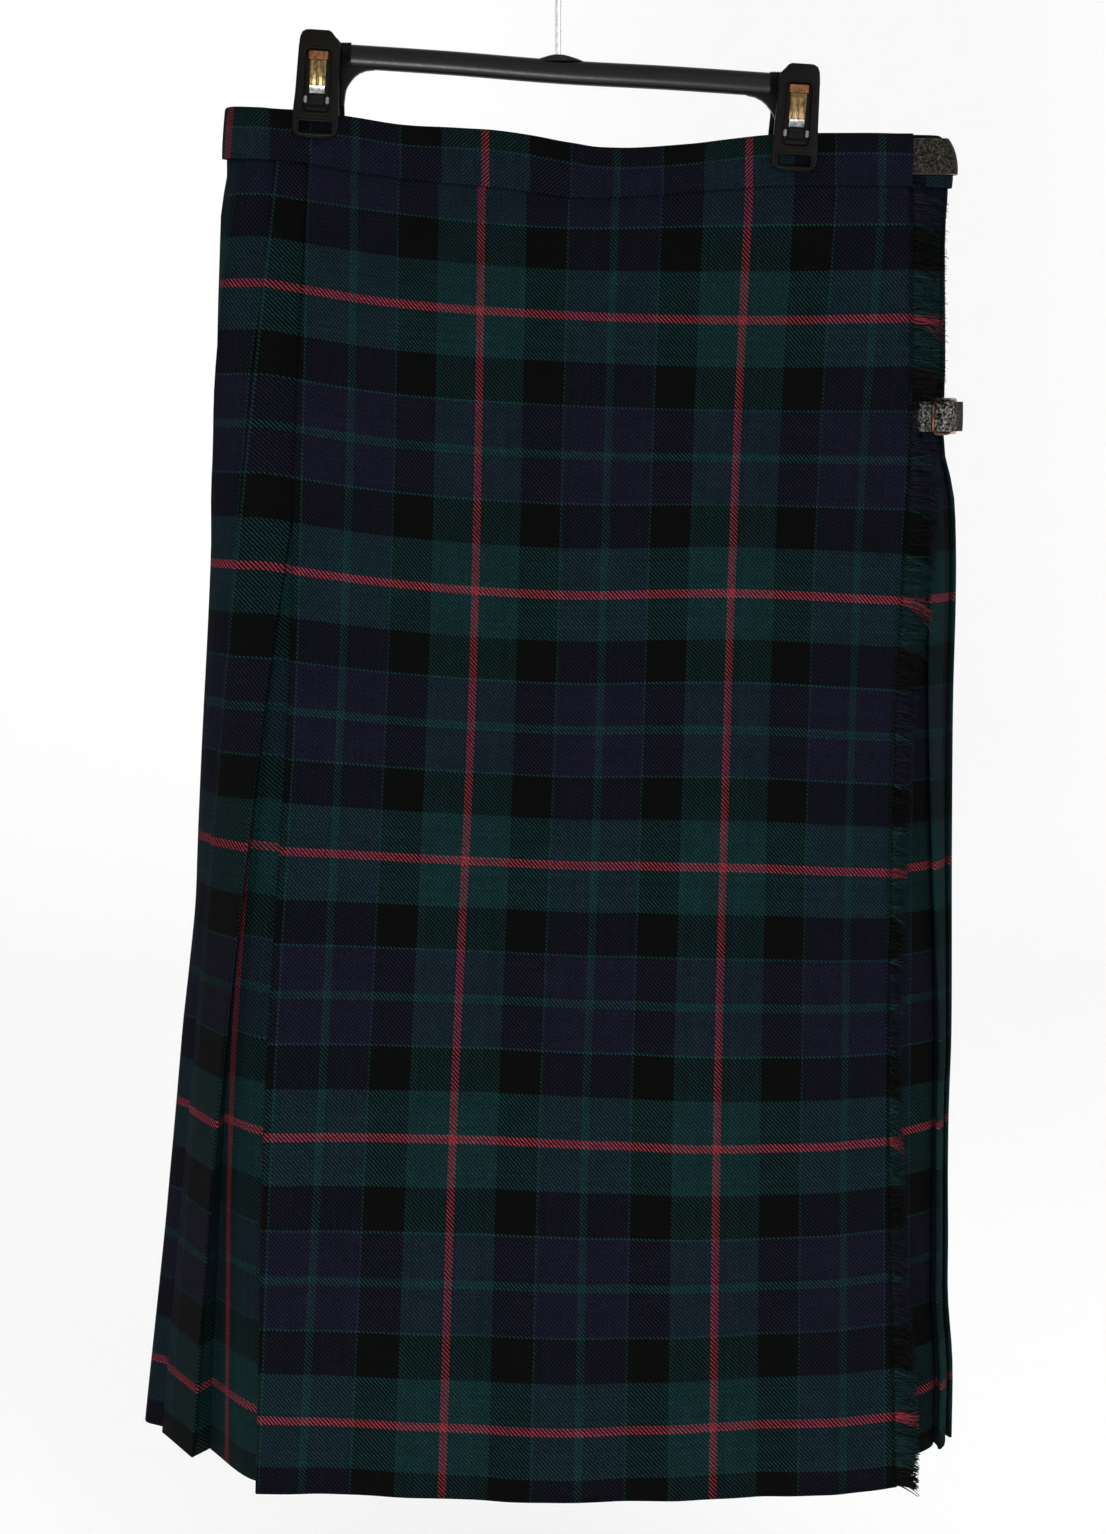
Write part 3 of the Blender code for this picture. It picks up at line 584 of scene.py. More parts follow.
def makePleats(material):
    folds = pleats["folds"]
    numbers = [row[0] for row in folds]
    count = numbers[-1]
    per = pleats["points"]
    edges = {k: pleats["lastEdge"] - pleats["step"] * (count - 3 - k) for k in range(count)}
    edges.update(pleats["ownEdges"])
    rows, left, right = [], [], []
    for level in levelsDown:
        ease = level ** 1.25
        tucks, depths = (spline(numbers, [row[c] + (row[c + 1] - row[c]) * ease for row in folds],
                                np.arange(count + 1.0)) for c in (11, 13))
        path = [(0.0, 0.0)]
        for k in range(1, count + 1):
            ends = tableLine(folds, level, np.array([float(k), k - 0.9]))
            pitch = np.linalg.norm(ends[0] - ends[1]) / 0.9
            tuck, depth = tucks[k] / pitch, depths[k]
            turn = min(pleats["turn"], 0.4 * depth / (1 + tuck))
            edge = k + 0.05 * noise.noise((k * 3.7, level * 2.2, 0.5)) * level
            if k < count:
                path += innerPleat(path[-1][0], edge, edge + tuck, depth, turn, pitch)
            else:
                path += lastPleat(path[-1][0], edge, edge - tuck, depth, turn, pitch)
        path = np.array(path)
        line, after, before = (tableLine(folds, level, path[:, 0] + off) for off in (0.0, 0.05, -0.05))
        ahead = (after - before) / np.linalg.norm(after - before, axis=1, keepdims=True)
        line = line + np.stack([-ahead[:, 1], ahead[:, 0]], -1) * path[:, 1:]
        run = np.vstack([line[-1], tablePoints(pleats["tail"], level)])
        tail = spline([0, 0.5, 1], run, np.linspace(0, 1, pleats["tailPoints"] + 1)[1:])
        line = np.vstack([line, tail])
        if not rows:
            waist = line[:, 0].copy()
        z = heightAt(waist, level)
        line[:, 0] += rightOf(line[:, 0], z)
        line[:, 0] += standOut("leftSide", z) * np.clip(1 - (line[:, 0] - line[:, 0].min()) / 7, 0, 1)
        arc = arcAlong(line)
        thread = tartan["thread"] * (1 + 0.06 * level)
        sides = np.stack([arc[:-1], arc[1:]])
        numbered = np.empty_like(sides)
        # the pattern jumps at each inner fold
        for k in range(count - 1):
            first, last = max(0, per * k - 9), per * k + 9
            anchor = arc[per * k - 2] if k else 0.0
            numbered[:, first:last] = edges[k] + (sides[:, first:last] - anchor) / thread
        k = count - 1
        first, last, anchor = per * k - 9, per * count, arc[per * k - 2]
        start, end = (float(atLevel(pleats[key], level)) for key in ("leafStart", "leafEnd"))
        pace = (end - start) / (arc[per * k + 9] - anchor)
        numbered[:, first:last] = start + (sides[:, first:last] - anchor) * pace
        # past its red line the tail turns away and shows only green
        tailStart = len(line) - pleats["tailPoints"] - 1
        at = np.interp(atLevel(pleats["tailRed"], level), line[tailStart:, 0], arc[tailStart:])
        past = (sides[:, last - 1:] - at) / thread
        numbered[:, last - 1:] = 2 * tartan["half"] + np.where(past > 5, 5 + (past - 5) * 0.6, past)
        left.append(numbered[0])
        right.append(numbered[1])
        rows.append(np.column_stack([line, z]))
    points = np.array(rows)
    piece = clothGrid("pleated_cloth", points, np.array(left), weftAt(points), pleats["thickness"],
                      material, np.array(right))
    return piece, points


# ---- waistband

band = {
    "height": 27.5,
    # how high its top edge stands over the seam, by place across
    "top": ((-186, 27.0), (-161, 27.5), (-150, 27.1), (-107, 29.0), (-85, 28.4), (-53, 29.9), (-21, 30.4),
            (6, 29.1), (23, 27.0), (66, 25.8), (101, 27.0), (147, 27.8), (190, 28.2), (216, 27.5)),
    "thickness": 2.5,
    # middle lines seen from above
    "over": ((191.5, -10.3), (120, -10.0), (20, -9.8), (-80, -9.8), (-150, -9.6), (-170, -9.0),
             (-178.5, -6.2), (-181.8, 0.0), (-178.5, 6.2), (-170.5, 8.8)),
    "back": ((-170.0, 8.9), (-150, 9.4), (-80, 9.6), (20, 9.8), (120, 9.6), (190, 9.2), (204, 8.2),
             (211.6, 5.0), (213.8, 0.4), (211.4, -3.4), (204, -4.6), (192, -4.6), (186.3, -4.4)),
    "under": ((185.7, -4.4), (150, -4.6), (80, -5.0), (0, -5.2), (-110, -5.0)),
    "weftAtTop": 65.0,        # its own weft count at the top edge: the band is cut from another stripe
    # how far along each stretch its threads lie: on the front the red warp lines
    "threads": {
        "over": ((88.4, 0), (230.9, 260), (370.6, 520)),
        "back": ((0, 583), (402, 1340)),
        "under": ((0, 40), (300, 584)),
    },
    # share of the height at each row of points up a face
    "faces": (0.0, 0.06, 0.16, 0.3, 0.5, 0.7, 0.88),
    "drawnFrom": (200.0, 213.0),      # where the right side starts to lean in, and is full
    "drawnIn": 6.3,
    "straight": 4.0,          # height above the seam where it starts to lean
    "lean": 2.2,              # how far the left end's top is drawn in
    "pucker": 0.28,           # unevenness where it is stitched down
    "uneven": 0.3,            # and along its top
}


def drawnIn(x, rise):
    # how far the band's right side leans in, more towards its top edge
    start, end = band["drawnFrom"]
    part = np.clip((x - start) / (end - start), 0, 1)
    up = np.maximum(rise - band["straight"], 0) / (band["height"] - band["straight"])
    return band["drawnIn"] * up ** 3 * part ** 2


def lineAlong(points, step):
    # points every so often along a smooth line through the given ones, and how far along each is
    points = np.array(points, float)
    along = arcAlong(points)
    places = np.linspace(0, along[-1], max(3, int(along[-1] / step) + 1))
    line = spline(along, points, places)
    return line, arcAlong(line)


def makeBand(stretch, name, material):
    line, arc = lineAlong(band[stretch], 3.0)
    # numbers of the warp threads along it, kept on at the same pace past both ends
    places, counts = zip(*band["threads"][stretch])
    past = np.minimum(arc - places[0], 0) + np.maximum(arc - places[-1], 0)
    numbers = np.interp(arc, places, counts) + past / tartan["thread"]
    ahead = unitRows(line)
    half = band["thickness"] / 2
    # round the section: up the one face, over the rolled top, down the other and under
    section = [(half, f) for f in band["faces"]]
    section += [(half * cos(a), 1 - 0.045 * (1 - sin(a))) for a in np.linspace(0, pi, 7)]
    section += [(-half, f) for f in reversed(band["faces"])]
    tall = among(band["top"], line[:, 0])
    top = band["uneven"] * np.array([noise.noise((v * 0.05, 9.0, 2.0)) for v in arc])
    form = bmesh.new()
    layer = form.loops.layers.uv.new("threads")
    grid, threads = [], []
    for off, f in section:
        rise = tall * f
        wave = np.array([noise.noise((x * 0.09, off * 0.3 + 5, f * 1.5)) for x in arc])
        near = exp(-f / 0.12)
        swell = 0.22 * sin(pi * min(f, 1.0)) - 0.38 * near
        out = off + copysign(1.0, off) * (swell + wave * band["pucker"] * (0.5 + near)) * (abs(off) > 0.4)
        drawn = np.clip((-line[:, 0] - 165) / 15, 0, 1) * band["lean"] * f
        x = line[:, 0] - ahead[:, 1] * out + drawn - drawnIn(line[:, 0], rise)
        y = line[:, 1] + ahead[:, 0] * out
        points = np.column_stack([x, y, seamZ(line[:, 0]) + rise + top * f])
        grid.append([form.verts.new(point * mm) for point in points])
        down = band["weftAtTop"] + (tall - rise) / tartan["thread"]
        threads.append(np.column_stack([numbers + drawn / tartan["thread"] * 0.6, down]))
    count, long = len(grid), len(line)
    rings = [((r, c), ((r + 1) % count, c), ((r + 1) % count, c + 1), (r, c + 1))
             for r in range(count) for c in range(long - 1)]
    rings += [[(r, c) for r in range(count)] for c in (0, long - 1)]
    for corners in rings:
        face = form.faces.new([grid[r][c] for r, c in corners])
        face.smooth = True
        for loop, (r, c) in zip(face.loops, corners):
            loop[layer].uv = threads[r][c]
    piece = linked(name, meshFrom(form, name, material, sharp=55))
    return piece, (round(float(arc[-1]) * mm, 3), round(band["height"] * mm, 4))


# ---- the frayed edge

fringe = {
    # length of the yarns, by share of the height
    "lengths": ((0.0, 17.5), (0.28, 16.5), (0.40, 12.0), (0.55, 9.0), (0.66, 8.0), (0.82, 11.0),
                (0.95, 14.5), (1.0, 13.5)),
    "strands": 6800,
    "thick": 0.26,
    # each yarn's lean, bend, layer and thickness lie between these
    "lean": (-0.22, 0.22),
    "bend": (-0.05, 0.4),
    "layer": (-1.8, 0.2),
    "uneven": (0.7, 1.25),
    "denseFrom": 0.88,        # share of the height below which the yarns lie thicker
    "stitches": 330,
    "stitch": (2.6, 0.4, 0.24),                     # length, how uneven, and thickness
    "stitchThread": 60.0,
    "tucked": ((-139.0, 16.0), (-277.5, 12.0)),     # heights where a strap lies over it, and how near
    "seed": 11,
}


def makeFringe(points, weft):
    # loose weft ends, each a thin three-sided yarn with the colour of its own place in the cloth
    rng = random.Random(fringe["seed"])
    edge, inner = points[:, -1], points[:, -8]
    vertices, faces, threads = [], [], []

    def rootAt(share):
        at = share * (len(edge) - 1) * 0.999
        row = int(at)
        out = edge[row] - inner[row]
        out[2] = 0
        return row, at - row, between(edge, row, at - row), out / np.linalg.norm(out)

    def between(values, row, f):
        return values[row] * (1 - f) + values[row + 1] * f

    def addYarn(spine, thread, capped):
        base, count = len(vertices), len(faces)
        for place, size in spine:
            for angle in (0.5, 2.6, 4.7):
                vertices.append(place + np.array([0, cos(angle), sin(angle)]) * size)
        for s in range(base, base + 3 * (len(spine) - 1), 3):
            faces.extend((s + a, s + (a + 1) % 3, s + (a + 1) % 3 + 3, s + a + 3) for a in range(3))
        if capped:
            faces.extend(((base, base + 2, base + 1), tuple(range(len(vertices) - 3, len(vertices)))))
        threads.extend([(rng.random() * 50, thread)] * (len(faces) - count))

    for i in range(fringe["strands"]):
        row, f, root, out = rootAt(rng.random() ** 1.02)
        share = between(levelsDown, row, f)
        # locks: neighbours lean and clump together
        lock = noise.noise((root[2] * 0.35, 0.0, 4.0))
        dense = max(0.0, (share - fringe["denseFrom"]) / (1 - fringe["denseFrom"]))
        lock *= 1 - 0.75 * dense
        reach = float(among(fringe["lengths"], share)) * (0.7 + 0.42 * rng.random() ** 0.6 + 0.16 * lock)
        for z, near in fringe["tucked"]:
            if abs(root[2] - z) < near:
                reach = min(reach, 4.0 + 2.0 * rng.random())
        lean = 0.1 + 0.55 * lock + rng.uniform(*fringe["lean"])
        bend = rng.uniform(*fringe["bend"])
        layer = rng.uniform(*fringe["layer"])
        wave = rng.uniform(0, 6.28)
        thick = fringe["thick"] * rng.uniform(*fringe["uneven"]) * (1 + 1.1 * dense)
        spine = []
        for t in (0, 0.25, 0.5, 0.75, 1.0):
            place = root - out * 0.8 + out * reach * t
            place = place + np.array([0, layer * sin(t * 1.6) + 0.25 * sin(wave + t * 7),
                                      -reach * (lean * t + bend * t * t) + 0.3 * sin(wave + 5 * t)])
            spine.append((place, thick * (1 - 0.55 * t)))
        addYarn(spine, between(weft[:, -1], row, f), True)
    # a row of small loops oversews the edge just inside the fringe
    long, uneven, thick = fringe["stitch"]
    for i in range(fringe["stitches"]):
        row, f, root, out = rootAt((i + 0.5) / fringe["stitches"])
        size = long + rng.uniform(-uneven, uneven)
        spine = []
        for t in np.linspace(0, 1, 6):
            place = root - out * size * (1 - t * 1.25)
            off = np.array([0, -0.55 - 0.45 * sin(pi * t), 0.9 * sin(tau * t) - 0.5 * t])
            spine.append((place + off, thick))
        addYarn(spine, fringe["stitchThread"], False)
    mesh = bpy.data.meshes.new("apron_fringe_yarns")
    mesh.from_pydata([tuple(v * mm) for v in vertices], [], faces)
    giveThreads(mesh, np.concatenate([[pair] * len(face) for pair, face in zip(threads, faces)]))
    mesh.shade_smooth()
    look = Look("fringe_yarn", Roughness=0.95, Specular_IOR_Level=0.05)
    yarn, count = look.threads()
    own = look.node("TexWhiteNoise", {"noise_dimensions": "1D"}, {"W": yarn})
    shade = (look.noise(look.place(), 900.0, 2.0) * 1.1 + 0.3) * (own ** 2.0 * 1.9 + 0.25)
    colour = look.tinted(settColour(look, whole(count) + 0.5), shade)
    # bits of lint show on the dark yarns
    look.give("Base Color", look.mix(own ** 5.0 * 0.3, colour, (0.020, 0.017, 0.014, 1.0)))
    look.rise(shade, 0.0001, 0.4)
    mesh.materials.append(look.material)
    return linked("apron_fringe_yarns", mesh)


# ---- leather straps and buckles

straps = {
    # name: middle below the rail, half width, pin bar at, length past it, what it lies on
    "upper": (45.5, 9.4, 86.0, 34.0, "band"),
    "lower": (185.5, 8.0, 54.0, 60.0, "pleats"),
    # thicknesses of the leather
    "leather": 2.0,
    "chape": 1.6,
    "keeper": 1.4,
    "point": 14.0,            # length of the pointed end
    "taper": (13.0, 0.16),    # where it starts to narrow, from the tip, and the tip's share of the width
    "ripple": (0.12, 0.13),   # height of its waves, and how many to the mm
    "cup": 0.22,
    "hole": (1.5, 1.1),       # radius of the prong's hole, and of the others
    "holes": (20.0, 44.0),    # how far past the pin bar the others are, and the last one from the tip
    "lastHole": 15.0,
    # the chape's two leaves: along from the pin bar, and height; then how much narrower it is
    "innerLeaf": ((25, 1.3), (20, 1.3), (15, 1.3), (10.5, 1.3), (6, 1.3), (2.5, 1.7)),
    "outerLeaf": ((3, 6.1), (8, 3.4), (12, 3.3), (16, 3.3), (20, 3.3), (24, 3.3)),
    "narrower": 0.6,
    # the keeper: how far inside its own edge, and height; its middle; then where along it lies
    "keeperSide": ((0.0, 1.0), (0.0, 4.0), (0.2, 7.5), (0.8, 8.0), (2.0, 8.2)),
    "keeperTop": 8.25,
    "keeperAt": (20.5, 17.5, 14.5),
    "room": 0.7,              # between the strap's edge and the keeper
    "beside": 1.2,            # and from that edge to the middle of the frame's wire
    "wire": 1.0,              # radius of the buckle's wire
    "corner": 2.8,            # radius of its frame's corners
    "prong": 0.75,
    "long": 14.5,             # tip bar to pin bar
    "pinBar": 4.4,            # middle of the pin bar, off the cloth
    "tipBar": 4.7,
    "step": 1.3,
    # along from the pin bar, and height of the strap's middle
    "rises": ((-200, 1.7), (-13.5, 1.7), (-4.0, 9.1), (1.5, 9.1), (10.0, 5.7), (27.0, 5.7),
              (38.0, 1.8), (200, 1.8)),
    "uneven": 1.3,            # how far the lower strap stands off the uneven pleats
    # colour, strength of the pale flecks painted on the grain as glints of light, and how far across they
    # are strong
    "strap_leather": ((0.0075, 0.0055, 0.0032, 1.0), 0.13, None),
    # painted highlight: this leather has many pale glints, strong only left of 221.5 mm across
    "strap_leather_glint_painted": ((0.010, 0.008, 0.006, 1.0), 0.8, 0.2215),
    # painted shade: the leather inside the holes is given a darker colour with no glints
    "leather_in_holes_shaded": ((0.005, 0.0035, 0.003, 1.0), 0.0, None),
    "glint": (0.33, 0.33, 0.31, 1.0),
    # pale raw leather on the cut edge, its paleness partly a painted highlight along the edge
    "cutEdgeAndHighlight": ((0.3, (0.20, 0.12, 0.07)), (0.7, (0.52, 0.42, 0.34))),
}


class Route:
    # the surface that a strap lies on: distance along it, height off it, height up or down
    def __init__(self, points, wall, z, leans=False):
        self.line, self.arc = lineAlong(points, 1.0)
        self.out = outwardOf(self.line)
        self.wall, self.z, self.leans = wall, z, leans

    def at(self, along, off, up=0.0):
        x, y, outX, outY = (np.interp(along, self.arc, values) for values in (*self.line.T, *self.out.T))
        reach = self.wall + off
        moved = -float(drawnIn(x, self.z + up - seamZ(x))) if self.leans else float(rightOf(x, self.z))
        return np.array([x + outX * reach + moved, y + outY * reach, self.z + up])


def bandRoute(z):
    return Route([(165, -4.5), *reversed(band["back"][3:])], band["thickness"] / 2 + 0.05, z, leans=True)


def pleatRoute(z):
    level = (seamZ(205) - z) / (seamZ(205) - garment["railZ"] + garment["skirtDrop"])
    start = tableLine(underApron["table"], level, 0.93)
    return Route([start, *tableLine(pleats["folds"], level, np.arange(14) * 0.5)], 0.5 + straps["uneven"], z)


def strapRise(place):
    for (a, low), (b, high) in zip(straps["rises"], straps["rises"][1:]):
        if place <= b:
            f = (place - a) / (b - a)
            return low + (high - low) * f * f * (3 - 2 * f)
    return straps["rises"][-1][1]


def makeLeather(name, rough=0.42):
    # pebbled grain over dark leather, with pale flecks painted on as glints of light off the grain
    colour, glintAmount, glintsTo = straps[name]
    look = Look(name, Specular_IOR_Level=0.03)
    place = look.place()
    settings = {"feature": "DISTANCE_TO_EDGE"}
    edges = look.node("TexVoronoi", settings, {"Vector": place, "Scale": 1500.0})
    pebble = look.ramp(edges, ((0.0, grey(0.0)), (0.22, grey(1.0))))
    fine = look.noise(place, 2300.0, 3.0)
    worn = look.noise(place, 140.0, 3.0)
    # painted highlight: where this noise mask is high the grain is given pale glints
    glintMask = look.ramp(look.noise(place, 760.0, 3.0, 0.7), ((0.46, grey(0.0)), (0.60, grey(1.0))))
    if glintsTo:
        stops = ((0.0, grey(glintAmount * 0.15)), (1.0, grey(glintAmount)))
        glintAmount = look.ramp((glintsTo - look.axis(place, 0)) * 125.0, stops)
    dark = look.tinted(colour, (pebble * 0.75 + 0.45) * (worn * 0.8 + 0.6))
    look.give("Base Color", look.mix(glintMask * pebble * glintAmount, dark, straps["glint"]))
    look.give("Roughness", rough + 0.2 - pebble * 0.26 + fine * 0.1)
    look.rise(pebble + fine * 0.5, 0.00018, 0.8)
    return look.material


def makeCutEdgeAndHighlight(name):
    look = Look(name, Roughness=0.85, Specular_IOR_Level=0.2)
    fibre = look.noise(look.place(), 1400.0, 4.0, 0.7)
    look.give("Base Color", look.ramp(fibre, straps["cutEdgeAndHighlight"]))
    look.rise(fibre, 0.0001, 0.5)
    return look.material


metals = {
    # darkest and brightest colour, and roughness
    "antique_brass": ((0.020, 0.009, 0.006), (0.12, 0.065, 0.04), 0.3),
    "spring_bronze": ((0.05, 0.020, 0.009), (0.14, 0.062, 0.028), 0.35),
    "spring_gold": ((0.06, 0.037, 0.014), (0.17, 0.115, 0.053), 0.25),
    "spring_plating": ((0.10, 0.10, 0.10), (0.38, 0.38, 0.37), 0.25),
    "hook_chrome": ((0.55, 0.55, 0.56), (0.80, 0.80, 0.80), 0.14),
}


def makeMetal(name):
    dark, bright, rough = metals[name]
    look = Look(name, Metallic=1.0)
    place = look.place()
    worn = look.noise(place, 420.0, 5.0, 0.65)
    scratch = look.noise(place, 1900.0, 2.0)
    look.give("Base Color", look.ramp(worn, ((0.35, dark), (0.62, bright))))
    look.give("Roughness", rough + worn * 0.25 - scratch * 0.08)
    look.rise(scratch, 0.00004, 0.35)
    return look.material


def applied(piece):
    # the piece's mesh with its modifiers worked in
    graph = bpy.context.evaluated_depsgraph_get()
    mesh = bpy.data.meshes.new_from_object(piece.evaluated_get(graph))
    piece.modifiers.clear()
    piece.data = mesh
    mesh.set_sharp_from_angle(angle=radians(50))
    return piece


def leatherSheet(name, rows, thickness, materials):
    # a leather sheet through rows of points, its cut edges in the second material: pale raw leather, made
    # paler as a painted highlight
    mesh = gridMesh(name, rows, *materials)
    mesh.shade_smooth()
    piece = linked(name, mesh)
    thicken(piece, thickness).material_offset_rim = 1
    soften = piece.modifiers.new("edge", "BEVEL")
    soften.width = 0.3 * mm
    soften.segments = 2
    soften.limit_method = "ANGLE"
    soften.angle_limit = radians(50)
    return piece


def punch(strap, place, out, radius):
    # a round hole across the strap
    form = bmesh.new()
    bmesh.ops.create_cone(form, cap_ends=True, segments=20, radius1=radius * mm, radius2=radius * mm,
                          depth=8 * mm)
    tool = linked("punch", meshFrom(form, "punch"))
    tool.rotation_euler = Vector(out).to_track_quat("Z", "Y").to_euler()
    tool.location = Vector(place) * mm
    cut = strap.modifiers.new("punched", "BOOLEAN")
    cut.operation = "DIFFERENCE"
    cut.object = tool
    applied(strap)
    bpy.data.objects.remove(tool)


def curveMesh(name, curve, lines, closed=True):
    # the mesh of a curve through these lines of points in mm
    for points in lines:
        line = curve.splines.new("POLY")
        line.points.add(len(points) - 1)
        for spot, point in zip(line.points, points):
            spot.co = (*(np.asarray(point, float) * mm), 1.0)
        line.use_cyclic_u = closed
    source = linked(name, curve)
    mesh = bpy.data.meshes.new_from_object(source.evaluated_get(bpy.context.evaluated_depsgraph_get()))
    bpy.data.objects.remove(source)
    return mesh


def makeTube(name, points, radius, material, closed=False, around=12):
    # a round bar through points
    curve = bpy.data.curves.new(name, "CURVE")
    curve.dimensions = "3D"
    curve.bevel_depth = radius * mm
    curve.bevel_resolution = (around - 4) // 2
    curve.use_fill_caps = not closed
    mesh = curveMesh(name + "_line", curve, [points], closed)
    mesh.name = name
    mesh.materials.clear()
    mesh.materials.append(material)
    mesh.shade_smooth()
    return linked(name, mesh)


def strapSheet(name, route, tipBar, out, materials):
    drop, half, pin, past = straps[name][:4]
    end, point = pin + past, straps["point"]
    places = [*np.arange(0.0, end - point, straps["step"]),
              *(end - point + point * np.sin(np.linspace(0.05, 1.0, 11) * pi / 2))]
    narrowing, least = straps["taper"]
    high, often = straps["ripple"]
    rows = []
    for place in places:
        left = max(0.0, end - place)
        width = half if left > narrowing else half * (least + (1 - least) * sin(pi / 2 * left / narrowing))
        # leather cups a little across and ripples where it has been buckled
        rise = strapRise(place - pin) + high * noise.noise((place * often, drop, 1.0))
        rows.append([route.at(place, rise - straps["cup"] * (turn * width / half) ** 4, turn * width)
                     for turn in np.linspace(1, -1, 11)])
    strap = leatherSheet(f"strap_{name}_leather", rows, straps["leather"], materials)
    # the prong's hole is where the strap crosses the frame
    tries = np.arange(pin - 16.0, pin - 2.0, 0.1)
    off = [abs(np.dot(route.at(t, strapRise(t - pin)) - tipBar, out)) for t in tries]
    wide, small = straps["hole"]
    others = [pin + more for more in straps["holes"]] + [end - straps["lastHole"]]
    for place, radius in ((tries[int(np.argmin(off))], wide), *((place, small) for place in others)):
        if place <= end - 6:
            here, after = (route.at(p, strapRise(p - pin)) for p in (place, place + 0.5))
            ahead = after - here
            punch(strap, here, (ahead[1], -ahead[0], 0), radius)
    return applied(strap)


def makeChape(name, route, half, pin, materials):
    # a loop round the pin bar, both leaves sewn down behind it
    radius = straps["wire"] + 0.35 + straps["chape"] / 2
    turned = [(radius * cos(a), straps["pinBar"] + radius * sin(a))
              for a in np.linspace(-pi / 2, -1.5 * pi, 11)]
    profile = [*straps["innerLeaf"], *turned, *straps["outerLeaf"]]
    reach = half - straps["narrower"]
    rows = [[route.at(pin + along, rise, turn * reach) for turn in np.linspace(1, -1, 5)]
            for along, rise in profile]
    return applied(leatherSheet(f"chape_{name}_leather", rows, straps["chape"], materials))


def makeKeeper(name, route, half, pin, materials):
    # a narrow loop over strap and chape
    reach = half + straps["room"] + straps["keeper"] / 2
    side = [(reach - inside, rise) for inside, rise in straps["keeperSide"]]
    profile = [*side, (0, straps["keeperTop"]), *((-up, rise) for up, rise in reversed(side))]
    rows = [[route.at(pin + along, rise, up) for up, rise in profile] for along in straps["keeperAt"]]
    return applied(leatherSheet(f"keeper_{name}_leather", rows, straps["keeper"], materials))


def makeFrame(name, half, near, far, brass):
    # wire with round corners, from the tip bar to the pin bar
    reach, corner, long = half + straps["beside"], straps["corner"], straps["long"]
    outline = []
    for across, up, first in ((1, 1, 0), (0, 1, 90), (0, -1, 180), (1, -1, 270)):
        middle = long - corner if across else corner
        outline += [(middle + corner * cos(a), up * (reach - corner) + corner * sin(a))
                    for a in (radians(first + step * 90 / 7) for step in range(8))]
    points = [near + (far - near) * f / long + np.array([0, 0, z]) for f, z in outline]
    return makeTube(f"frame_{name}_wire", points, straps["wire"], brass, closed=True, around=16)


def makeProng(name, start, tip, out, brass):
    line = [start + (tip - start) * f + out * 0.25 * sin(pi * f) for f in np.linspace(0, 1, 9)]
    return makeTube(f"prong_{name}_wire", line, straps["prong"], brass)


def makeStrap(name, leather, cutEdgeAndHighlight, brass, hole):
    drop, half, pin, past, surface = straps[name]
    route = (bandRoute if surface == "band" else pleatRoute)(garment["railZ"] - drop)
    near, far = route.at(pin - straps["long"], straps["tipBar"]), route.at(pin, straps["pinBar"])
    back = (far - near) / np.linalg.norm(far - near)
    out = np.array([back[1], -back[0], 0.0])
    tip = near - back * 1.6 + out * (straps["wire"] + 1.1)
    settle(strapSheet(name, route, near, out, (leather, cutEdgeAndHighlight, hole)), "strap_" + name)
    settle(makeChape(name, route, half, pin, (leather, cutEdgeAndHighlight)), "chape_" + name)
    settle(makeKeeper(name, route, half, pin, (leather, cutEdgeAndHighlight)), "keeper_" + name)
    settle(makeFrame(name, half, near, far, brass), "frame_" + name)
    settle(makeProng(name, far - back * 4.8, tip, out, brass), "prong_" + name)


# ---- hanger

hanger = {
    "rail": ((-117.3, 8.5), (-58, 4.6), (-12, 0.9), (12, -0.7), (60, -3.2), (117.8, -7.0)),
    "tall": 6.5,              # half its height, and half its depth
    "deep": 4.5,
    "square": 0.82,           # how square its section is
    "parting": (0.16, 0.004),                       # height and sharpness of its parting lines
    # heights over the rail and radii of the boss
    "boss": ((-0.9, 14.0), (-0.3, 12.6), (0.4, 10.8), (1.0, 9.0), (1.6, 7.0), (2.1, 5.2), (2.4, 3.6),
             (2.5, 2.0), (2.5, 0.3)),
    "bossDeep": 4.0,
    "wire": 1.7,
    "hookRadius": 21.7,
    "hookCentre": -20.0,
    "hookTurn": (205.0, -38.0),
    "hookFoot": 1.8,          # over the rail's top
    # name: x, top above the rail's middle, tilt in degrees, and which way the rail lies
    "clips": {"left": (-127.5, 20.5, 3.6, 1), "right": (130.3, 2.8, 3.6, -1)},
    "moulded_plastic": ((0.0026, 0.0023, 0.0020), 0.34, 0.045),         # colour, roughness and shine
    "moulded_plastic_dark": ((0.003, 0.0026, 0.0024), 0.5, 0.045),
    "rail_plastic": ((0.0026, 0.0023, 0.0020), 0.27, 0.15),
    "peg_plastic": ((0.10, 0.10, 0.095), 0.4, 0.045),
}

